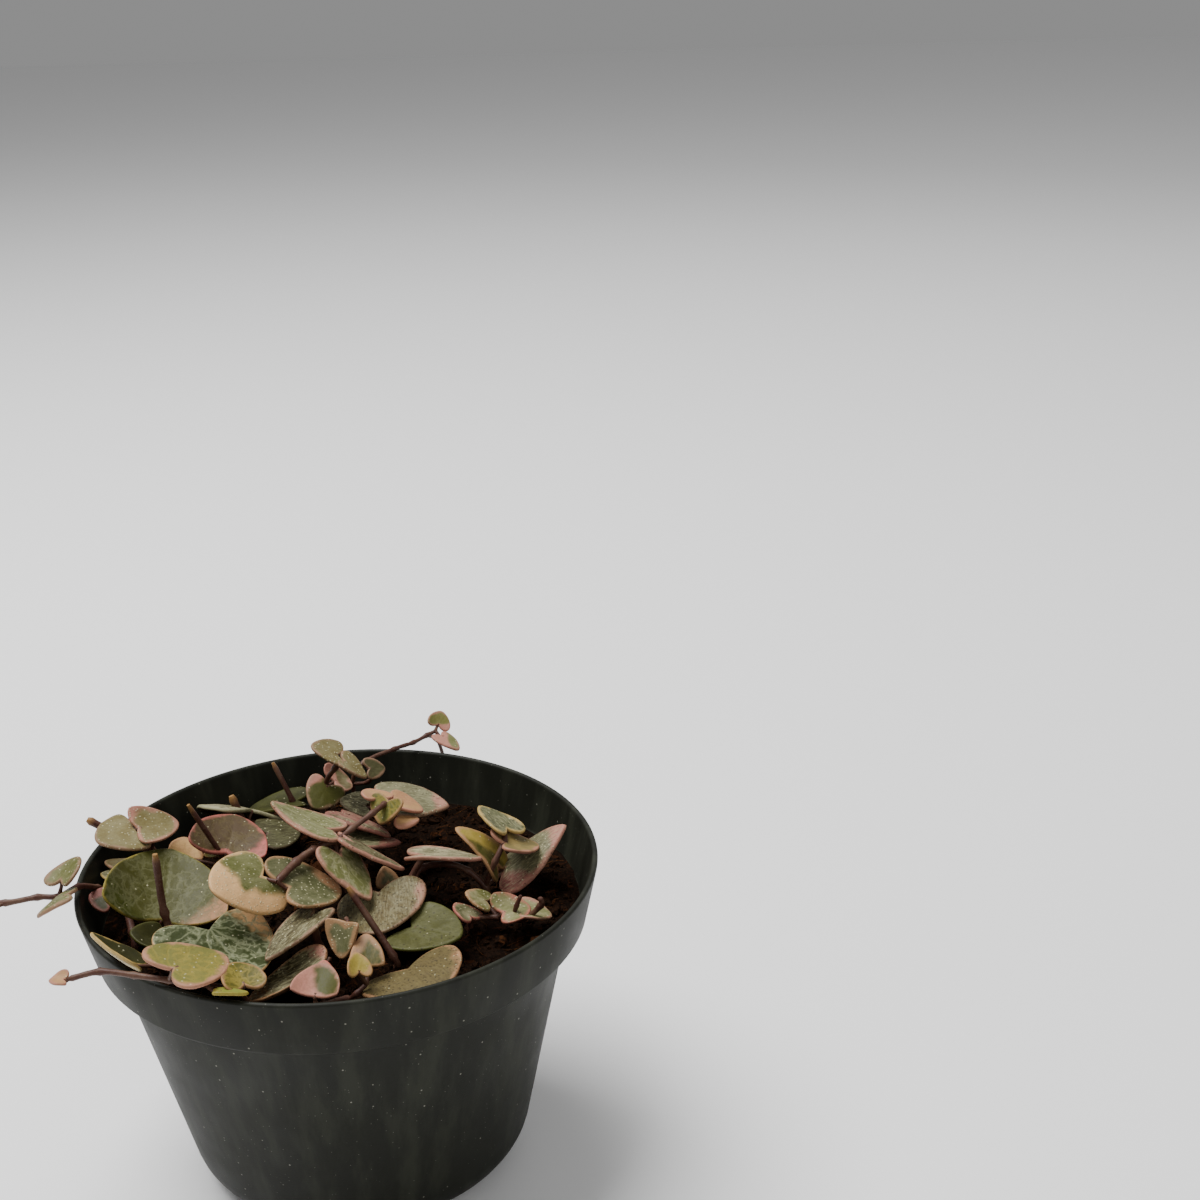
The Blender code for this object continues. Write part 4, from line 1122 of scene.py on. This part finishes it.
# %% [markdown]
# ## The cuttings
# Each entry is one node of the frame: its material slot, its stems as (radius, cut end, points)
# and its leaves. Points are millimetres across, back and over the soil. The cut end is the place
# in the row of points of the end that was cut: 0, -1, or None where no end shows a cut.
CUTTINGS = {
    "cutting_left_pair": (
        "leaf_tan",
        [(0.9, 0, [(-55, 8, 18), (-49, 8, 14), (-42, 7, 10.5), (-41, 13, 3), (-41, 14, 0),
              (-41, 14, IN)]),
         (0.6, None, [(-42, 4.5, 16.5), (-41, 5, 14), (-42, 7, 10.5)])],
        [Leaf((-44, 4, 17.5), 225, 4, -14, 9, 13, "tan_olive dusty_pink silver salmon",
              "pimpled", 0.5, -0.04, -0.02, lobe=0.3),
         Leaf((-43, 3, 18), 37, -9, 27, 9.5, 10.5, "tan_olive pink silver salmon",
              "pimpled", 0.7, 0.12, -0.02, lobe=0.3, patches=[("pink", 131, 0.97)])]
    ),
    "cutting_large_leaf": (
        "leaf_green",
        [(0.7, None, [(-36, -15.5, 5), (-36.5, -15, 0), (-36.5, -15, IN)]),
         (0.5, None, [(-36.5, -15, 1.6), (-39, -15.5, 1.8), (-41.5, -15, 1.4)]),
         (0.8, None, [(-41.5, -15, IN), (-41.5, -15, 0), (-42.5, -12.5, 2), (-45, -6, 3),
              (-47, 0, 3), (-46, 6, 5)]),
         (0.6, None, [(-47, 0, 3), (-50.5, -6, 9), (-52.5, -12, 12.8), (-55, -17, 13.5),
              (-59, -18, 14), (-65, -20, 14), (-69, -19, 14.2)]),
         (0.45, None, [(-65, -20, 14), (-67, -22, 14), (-69, -23, 14)])],
        [Leaf((-35.5, -15, 6), 93, 22, 18, 19, 25.5, "olive straw vein_silver dusk",
              "marbled", 0.3, 0.24, 0, 0.25, patches=[("salmon", -134, 1.02),
              ("moss_dark", 136, 0.93)]),
         Leaf((-45, 6, 6.5), 174, 14, 11, 7.5, 9, "beige dusty_pink silver dusk",
              "plain", 0.4, 0.02, -0.02),
         Leaf((-47.5, 2.5, 6.5), 173, 12, 4, 5, 7.5, "silver_green pale silver salmon",
              "pimpled", 0.4, tip=1.35),
         Leaf((-47.5, -9, 7.5), 171, 16, -25, 4.5, 6.5, "dark_olive rose olive rose",
              "plain", 0.6, patches=[("rose", -51, 0.03)]),
         Leaf((-54, -17, 17), 65, 26, -18, 6.5, 9, "moss dusty_pink silver pink",
              "pimpled", 0.7, 0.1, -0.02),
         Leaf((-51.5, -22, 16.5), 189, -21, 11, 7.5, 8, "moss dusty_pink silver pink",
              "pimpled", 0.8, -0.02, -0.2),
         Leaf((-69, -18.5, 14.2), 160, 10, 0, 4.5, 5.5, "moss dusty_pink silver pink",
              "plain", 0.7),
         Leaf((-69, -23, 14), 200, -5, 0, 4.5, 5.5, "salmon pink silver pink", "plain", 0.7)]
    ),
    "cutting_dusky": (
        "leaf_dusky",
        [(0.6, -1, [(-25, 8, IN), (-25, 8, 0), (-25.5, 7, 6), (-32, 5, 22.5)])],
        [Leaf((-25.6, 6, 9.8), 87, 18, 18, 14, 17, "dusk bright_pink beige rose",
              "veined", 0.7, 0.14, -0.18, lobe=0.3, patches=[("bright_pink", -113, 0.85)]),
         Leaf((-35, 7.5, 8.5), 93, 24, 30, 5.5, 8, "cream salmon pale salmon",
              "plain", 0.6, 0.08, -0.06, lobe=0.2),
         Leaf((-28, 8, 8), 76, 40, -7, 2, 6.5, "olive salmon straw dusk",
              "veined", 0.4, 0.1, -0.08)]
    ),
    "cutting_back_left": (
        "leaf_dusky",
        [(0.9, -1, [(-24, 24, IN), (-24, 24, 0), (-25, 24.5, 6), (-27.5, 25.5, 14)]),
         (0.6, -1, [(-14, 35, IN), (-14, 35, 0), (-16, 36, 7), (-20, 38, 16)]),
         (0.6, None, [(-24, 24, 3), (-19, 30, 2.2), (-14, 35, 3)])],
        [Leaf((-24, 28.5, 8.5), 144, -6, 32, 14, 23, "silver_green silver white dusk",
              "streaked", 0.5, -0.06, -0.2),
         Leaf((-20, 23.5, 5), 31, -11, 13, 8, 11.5, "grey_olive dusk vein_silver dusk",
              "streaked", 0.4, 0, 0),
         Leaf((-15, 36.5, 6.5), 184, -4, 6, 12, 13, "dark_olive olive moss dusk",
              "plain", 0.4, 0.08, -0.1)]
    ),
    "cutting_centre": (
        "leaf_cream",
        [(0.8, None, [(-1, 4, IN), (-1, 4, 0), (-1, 0, 8), (0, -3, 17), (-4, -7, 17.4),
              (-7, -11, 17), (-10, -18, 16.4)]),
         (0.6, None, [(0, -3, 17), (3, 1, 18), (7, 6, 19), (9, 10, 19), (9.5, 14, 17.5),
              (9, 20, 14.5)])],
        [Leaf((-13, -17, 17), -127, 11, -34, 14, 16, "moss cream silver pink",
              "pimpled", 0.8, -0.1, 0.06, patches=[("cream", -4, -0.04), ("cream", 74, 0.26)]),
         Leaf((-8, -17.5, 14.5), 42, -19, 17, 13, 16.5, "sage salmon silver rose",
              "pimpled", 0.6, 0.1, -0.02, patches=[("salmon", 18, 0.42)]),
         Leaf((-1.5, -0.5, 18.5), 173, 16, 11, 13.5, 14, "light_sage pink silver pink",
              "streaked", 0.9, 0.02, 0.18, tip=1.35),
         Leaf((1, -6, 15.5), -49, -38, -29, 12, 14, "light_sage pink silver pink",
              "veined", 0.8, -0.02, 0.06, tip=1.35),
         Leaf((3, -3, 17), -2, -33, -19, 13, 9.5, "brown_silver pink silver pink",
              "streaked", 0.9, -0.02, 0.02, tip=1.35),
         Leaf((7.5, 13, 19), 132, 8, 18, 4.5, 8, "salmon pink pale pink",
              "plain", 0.6, 0.04, -0.04),
         Leaf((10, 10.5, 19.5), -121, -47, 1, 5.5, 8.5, "moss salmon straw salmon",
              "marbled", 0.5, 0.08, -0.02, tip=1.35),
         Leaf((11, 14, 17.5), 6, -23, 1, 6.5, 8, "salmon pink pale pink",
              "plain", 0.6, 0.08, -0.04),
         Leaf((11.5, 10.5, 15.5), 16, -16, 0, 5, 7, "salmon pink pale salmon",
              "plain", 0.6, -0.14, -0.02),
         Leaf((8, 21, 15), 2, -3, 4, 14, 16, "silver_green dusty_pink silver dusk",
              "streaked", 0.5, -0.06, -0.16, tip=1.35, patches=[("pink", 14, 0.61)])]
    ),
    "cutting_centre_back": (
        "leaf_cream",
        [(0.6, None, [(-2, 12, IN), (-2, 12, 0), (-2, 13, 7), (-3, 15, 12)])],
        [Leaf((-1, 17, 13), -28, -8, -24, 12.5, 11, "dusk rose silver rose",
              "streaked", 0.8, -0.06, -0.08, tip=1.35, patches=[("rose", 118, -0.17)]),
         Leaf((2, 10, 10), 7, -6, -5, 10, 9.5, "grey_olive rose silver rose",
              "streaked", 0.6, 0.06, -0.02, tip=1.35, patches=[("rose", -5, 0.12)])]
    ),
    "cutting_back": (
        "leaf_tan",
        [(0.6, None, [(-7, 31, IN), (-7, 31, 0), (-7, 31, 13), (-4, 28.5, 19), (-3, 28.5, 21)]),
         (0.5, None, [(-7, 31, 2), (-1, 29, 4), (4, 29, 8)])],
        [Leaf((-3.5, 29.5, 21.5), 193, 30, -12, 6.5, 9, "tan_olive dusty_pink silver dusk",
              "pimpled", 0.5, 0.08, 0),
         Leaf((-2, 28.5, 20.5), -2, -37, 0, 6.5, 8, "tan_olive dusty_pink silver dusk",
              "pimpled", 0.5, 0.08, -0.06, tip=1.35),
         Leaf((-6.5, 30.5, 13.5), -113, -23, -32, 7, 9, "olive dusty_pink moss dusk",
              "plain", 0.7, -0.02, -0.04, patches=[("pink", -116, 0.83)]),
         Leaf((-5.5, 33.5, 13), 54, -7, 35, 5, 8.5, "beige pink silver dusk",
              "plain", 0.7, 0.18, -0.1, patches=[("pink", 150, 0.50)]),
         Leaf((2, 28.5, 9), 187, 18, -11, 6, 9, "grey_olive dusk silver dusk",
              "streaked", 0.4, 0.04, 0.02)]
    ),
    "runner_back": (
        "leaf_green",
        [(0.5, None, [(0, 38, IN), (0, 38, 0), (-2, 38, 10), (1, 39, 15), (7, 48, 14),
              (11, 53, 13.2), (14, 56, 13.6), (16, 57, 14.2)]),
         (0.45, None, [(-2, 38, 10), (2, 36, 11.5), (4.5, 33, 16)]),
         (0.45, None, [(14, 56, 13.6), (16, 59, 11), (17, 61, 6)])],
        [Leaf((3, 31.5, 17), 38, -14, 45, 4.5, 5.5, "grey_olive dusty_pink vein_silver dusk",
              "plain", 0.4, 0.02, -0.04),
         Leaf((16.5, 58.5, 15), 72, 37, 39, 4, 6, "light_olive pink silver pink",
              "plain", 0.6, 0.08, -0.06, patches=[("pink", -140, 0.76)]),
         Leaf((17.5, 55.5, 13.5), -39, -20, -9, 6, 6, "light_sage pink silver pink",
              "plain", 0.6, -0.02, -0.02, patches=[("pink", -131, 0.14)]),
         Leaf((17, 61, 5), 75, -50, 0, 4, 5, "salmon pink silver pink", "plain", 0.6)]
    ),
    "cutting_front_left": (
        "leaf_green",
        [(0.8, -1, [(-24, -25, IN), (-24, -25, 0), (-30, -23.5, 5), (-32.5, -22, 12),
              (-33, -21, 25)]),
         (0.5, None, [(-24, -25, 0.9), (-23.5, -26, 8)]),
         (0.5, None, [(-24, -25, 1.5), (-29, -33, 4), (-31.5, -37, 9)])],
        [Leaf((-23, -26, 10), -53, -18, -8, 17, 24.5, "deep_green cream vein_white olive",
              "marbled_strong", 0.2, 0, 0.18, patches=[("cream", 104, 0.84)]),
         # this leaf's dark olive ground is partly its own tone and partly painted shade: it lies in
         # shadow under the leaves above it
         Leaf((-34.5, -25, 7), 196, 33, -11, 5.5, 8.5, "dark_olive olive olive olive",
              "plain", 0.3, 0.18, 0.04),
         Leaf((-35, -39.5, 11), 172, 33, 25, 10, 9.5, "dark_olive pale olive white",
              "plain", 0.4, 0.14, 0.12, tip=1.35)]
    ),
    "runner_front": (
        "leaf_green",
        [(0.6, None, [(-13, -41, IN), (-13, -41, 0), (-14, -44, 7), (-19.5, -47.5, 11.3),
              (-26, -47.5, 12.4), (-33, -46, 12.7), (-40, -44, 12.4), (-46, -45, 11.5)])],
        [Leaf((-24.5, -49.5, 16), 49, -11, 8, 12.5, 16, "light_olive pink straw salmon",
              "veined", 0.9, 0.04, -0.06),
         Leaf((-11.5, -49.5, 12), 115, 14, 8, 7.5, 8.5, "yellow_olive salmon straw salmon",
              "marbled", 0.6, 0.16, -0.12),
         Leaf((-15.5, -53, 13), 5, -4, -16, 5.5, 3.5, "yellow_green straw straw straw",
              "plain", 0.4, 0.06, -0.04),
         Leaf((-46.5, -45.5, 11.5), 184, 6, -8, 3, 4.5, "salmon pink pale dusty_pink",
              "plain", 0.5, 0.2, -0.06, tip=1.35)]
    ),
    "cutting_front_middle": (
        "leaf_tan",
        [(0.9, -1, [(-1, -25, IN), (-1, -25, 0), (-1.5, -25.5, 5.5), (-2, -26, 11)]),
         (0.5, None, [(-1, -25, 2.5), (1, -29, 4), (1.5, -31, 6)]),
         (0.5, None, [(-1, -25, 2.5), (3, -26, 7), (5, -27.5, 13)])],
        [Leaf((-2.5, -23, 11), -124, -8, 12, 14.5, 10, "brown_silver dusty_pink silver dusk",
              "striated", 0.5, 0.04, -0.06, tip=1.35),
         Leaf((-0.5, -34.5, 5.5), -166, -27, 7, 14.5, 12.5, "brown_silver salmon silver dusk",
              "striated", 0.5, 0.22, 0.16, patches=[("orange_brown", 12, 0.38),
              ("pink", -161, 1.27)]),
         Leaf((5.5, -29.5, 13.5), -109, -58, 16, 7.5, 8.5, "sage salmon silver dusty_pink",
              "pimpled", 0.9, 0.18, -0.02, lobe=0.1)]
    ),
    "cutting_front": (
        "leaf_cream",
        [(0.6, None, [(6, -41, IN), (6, -41, 0), (6, -41, 3), (2, -45, 4.5), (1, -47, 6)]),
         (0.5, None, [(6, -41, 2.5), (8, -41.5, 4.5), (10, -40.5, 6)])],
        [Leaf((1, -47, 7.5), 81, 20, 4, 8, 9.5, "olive pink moss rose",
              "plain", 0.8, 0.2, 0.04, lobe=0.1, patches=[("pink", 108, 0.23)]),
         Leaf((10, -37.5, 8), 98, 38, -1, 7.5, 7, "dusty_pink salmon pale rose",
              "plain", 0.9, 0.08, -0.2, lobe=0.1, patches=[("olive", -127, -0.19)]),
         Leaf((9, -42, 9.5), 102, 39, 15, 4.5, 5, "straw salmon pale salmon",
              "plain", 0.7, 0.18, -0.12),
         Leaf((2, -41.5, 9), 90, 40, 0, 3, 4, "pink bright_pink pale pink", "plain", 0.5)]
    ),
    "cutting_speckled": (
        "leaf_tan",
        [(0.7, -1, [(14, -26, IN), (14, -26, 0), (13.5, -26.5, 3.5), (5, -22, 17)]),
         (0.6, None, [(8, -8, IN), (8, -8, 0), (9, -8.5, 6)]),
         (0.5, None, [(8, -8, 1.2), (11, -17, 1.2), (14, -26, 1.2)])],
        [Leaf((9, -8, 7.5), -80, -16, 14, 13, 19.5, "beige dusty_pink silver dusk",
              "speckled", 0.5, -0.08, 0.12, patches=[("pink", 81, 0.78)]),
         Leaf((16.5, -17.5, 4.5), -28, 4, 8, 12, 16, "olive moss vein_silver dusk",
              "dotted", 0.3, 0.04, 0),
         Leaf((10, -1, 5.5), 113, 57, 21, 4, 6, "grey_olive salmon silver dusk",
              "plain", 1, 0, -0.04, tip=1.35)]
    ),
    "leaf_speckled_front": (
        "leaf_tan",
        [(0.6, None, [(18, -31, IN), (18, -31, 0), (18.8, -32.5, 4)])],
        [Leaf((17.5, -35, 5.5), -58, 11, 8, 12.5, 21.5, "beige salmon tan_olive dusk",
              "speckled", 0.5, 0, -0.1, patches=[("salmon", 76, 0.70)])]
    ),
    "cutting_right": (
        "leaf_cream",
        [(0.7, None, [(14.5, 0, IN), (14.5, 0, 0), (15, 0.5, 6), (17.5, 1, 10.5)]),
         (0.7, None, [(15, 0.5, 5), (17, 4, 6.5), (23, 2.5, 8), (27, 2, 6.5), (30.5, 1.2, 3),
              (31, 1, 0), (31, 1, IN)]),
         (0.6, None, [(30.5, 1.2, 3), (33, 0.5, 9.5), (35, 3, 13), (35, 5, 14)])],
        [Leaf((17, 0, 11.5), 1, -1, -16, 13.5, 11, "silver_green pink white pink",
              "streaked", 1, 0.08, -0.06, tip=1.35),
         Leaf((33, 4, 6.5), 167, 69, -4, 11, 9, "straw salmon pale salmon",
              "plain", 0.8, 0.08, -0.48, patches=[("olive", 114, 0.05)]),
         Leaf((35.5, 5.5, 14.5), 130, 12, 18, 10, 9, "sage pale silver dusty_pink",
              "streaked", 0.7, 0.1, -0.02, tip=1.35),
         Leaf((35, 2, 13), 35, -27, 9, 9, 9.5, "tan_olive pink pale pink",
              "plain", 0.7, 0.1, 0.12),
         Leaf((35, 5.5, 5), 14, 35, 7, 16, 12.5, "silver_green pink silver salmon",
              "streaked", 0.7, -0.18, -0.06, tip=1.35, patches=[("rose", -138, 0.93),
              ("pink", -5, 0.49)])]
    ),
    "cutting_young": (
        "leaf_cream",
        [(0.6, None, [(28, -11.5, IN), (28, -11.5, 0), (29, -12, 3), (34, -12.2, 3.4),
              (39, -13, 3.2), (43, -14, 7), (43, -14, 9)]),
         (0.45, None, [(37, -12.5, 3.3), (38, -13, 6.5), (39, -13, 9)])],
        [Leaf((28.5, -13.5, 4), 143, 19, 17, 5, 7, "sage bright_pink white pink",
              "pimpled", 0.5, 0.08, 0.08),
         Leaf((31.5, -9.5, 5.5), 181, 29, -4, 5, 7, "moss salmon white salmon",
              "pimpled", 0.5, 0.02, 0),
         Leaf((35, -13.5, 5), 29, 0, 17, 6.5, 9, "light_sage bright_pink white pink",
              "pimpled", 0.8, 0.2, -0.04),
         Leaf((39.5, -12, 4.5), 5, -10, 4, 6, 7.5, "light_sage pink white pink",
              "pimpled", 0.6, 0.14, -0.1)]
    ),
}
STALK_RADIUS = 0.42
STALK_SINK = 0.10
STALK_BEND = 0.3
STALK_SAG = 0.25 * MM
print(len(CUTTINGS), "cuttings,", sum(len(leaves) for _, _, leaves in CUTTINGS.values()),
      "leaves")


# %% Make the cuttings
def stalk_chain(leaf, joints):
    """The stalk from under a blade to the nearest stem point."""
    joint = min(joints, key=lambda spot: (spot - leaf.notch).length)
    if (joint - leaf.notch).length < STALK_SAG:
        joint = joint - leaf.along * STALK_RADIUS * MM
    seat = leaf.surface(STALK_SINK * leaf.length, 0.0, 0.0)
    back = leaf.notch.lerp(joint, STALK_BEND) - leaf.normal * STALK_SAG
    route = smooth_route([seat, leaf.notch - leaf.normal * STALK_SAG * 0.5, back, joint], 5)
    thick = [STALK_RADIUS * MM * (0.85 + 0.35 * abs(2 * k / (len(route) - 1) - 1) ** 2)
             for k in range(len(route))]
    return route, thick, [0.0] * len(route)


def carry(piece, node):
    """A piece of a cutting rides on the frame and stands for its node."""
    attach(piece, "root")
    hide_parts(node)


def make_stems(node, stems, leaves):
    """All the stems and stalks of one cutting as one piece."""
    joints = [place(p) for _, _, points in stems for p in points if p[2] > 0]
    chains = [stem_chain(*stem) for stem in stems]
    chains += [stalk_chain(leaf, joints) for leaf in leaves]
    piece = row_of_points(node + "_stems", [route for route, _, _ in chains], {
        "thick": [v for _, thick, _ in chains for v in thick],
        "tan": [v for _, _, tan in chains for v in tan]})
    applied(piece, STEMS, Sides=10, Material=STEM_SKIN)
    carry(piece, node)
    return piece


def make_leaves(node, slot, leaves):
    """All the blades of one cutting as one piece."""
    bm = bmesh.new()
    layers = {name: bm.verts.layers.float.new(name) for name in FLOAT_LAYERS}
    layers.update({name: bm.verts.layers.float_color.new(name) for name in COLOUR_LAYERS})
    layers["leaf_place"] = bm.verts.layers.float_vector.new("leaf_place")
    for leaf in leaves:
        leaf.build(bm, layers)
    bmesh.ops.recalc_face_normals(bm, faces=bm.faces)
    mesh = bpy.data.meshes.new(node + "_leaves")
    bm.to_mesh(mesh)
    bm.free()
    mesh.shade_smooth()
    piece = link_object(node + "_leaves", mesh, LEAF_FINISHES[slot])
    carry(piece, node)
    return piece


faces = 0
for node, (slot, stems, leaves) in CUTTINGS.items():
    stem_piece = make_stems(node, stems, leaves)
    leaf_piece = make_leaves(node, slot, leaves)
    faces += len(stem_piece.data.polygons) + len(leaf_piece.data.polygons)
print(len(CUTTINGS), "cuttings made,", faces, "faces")
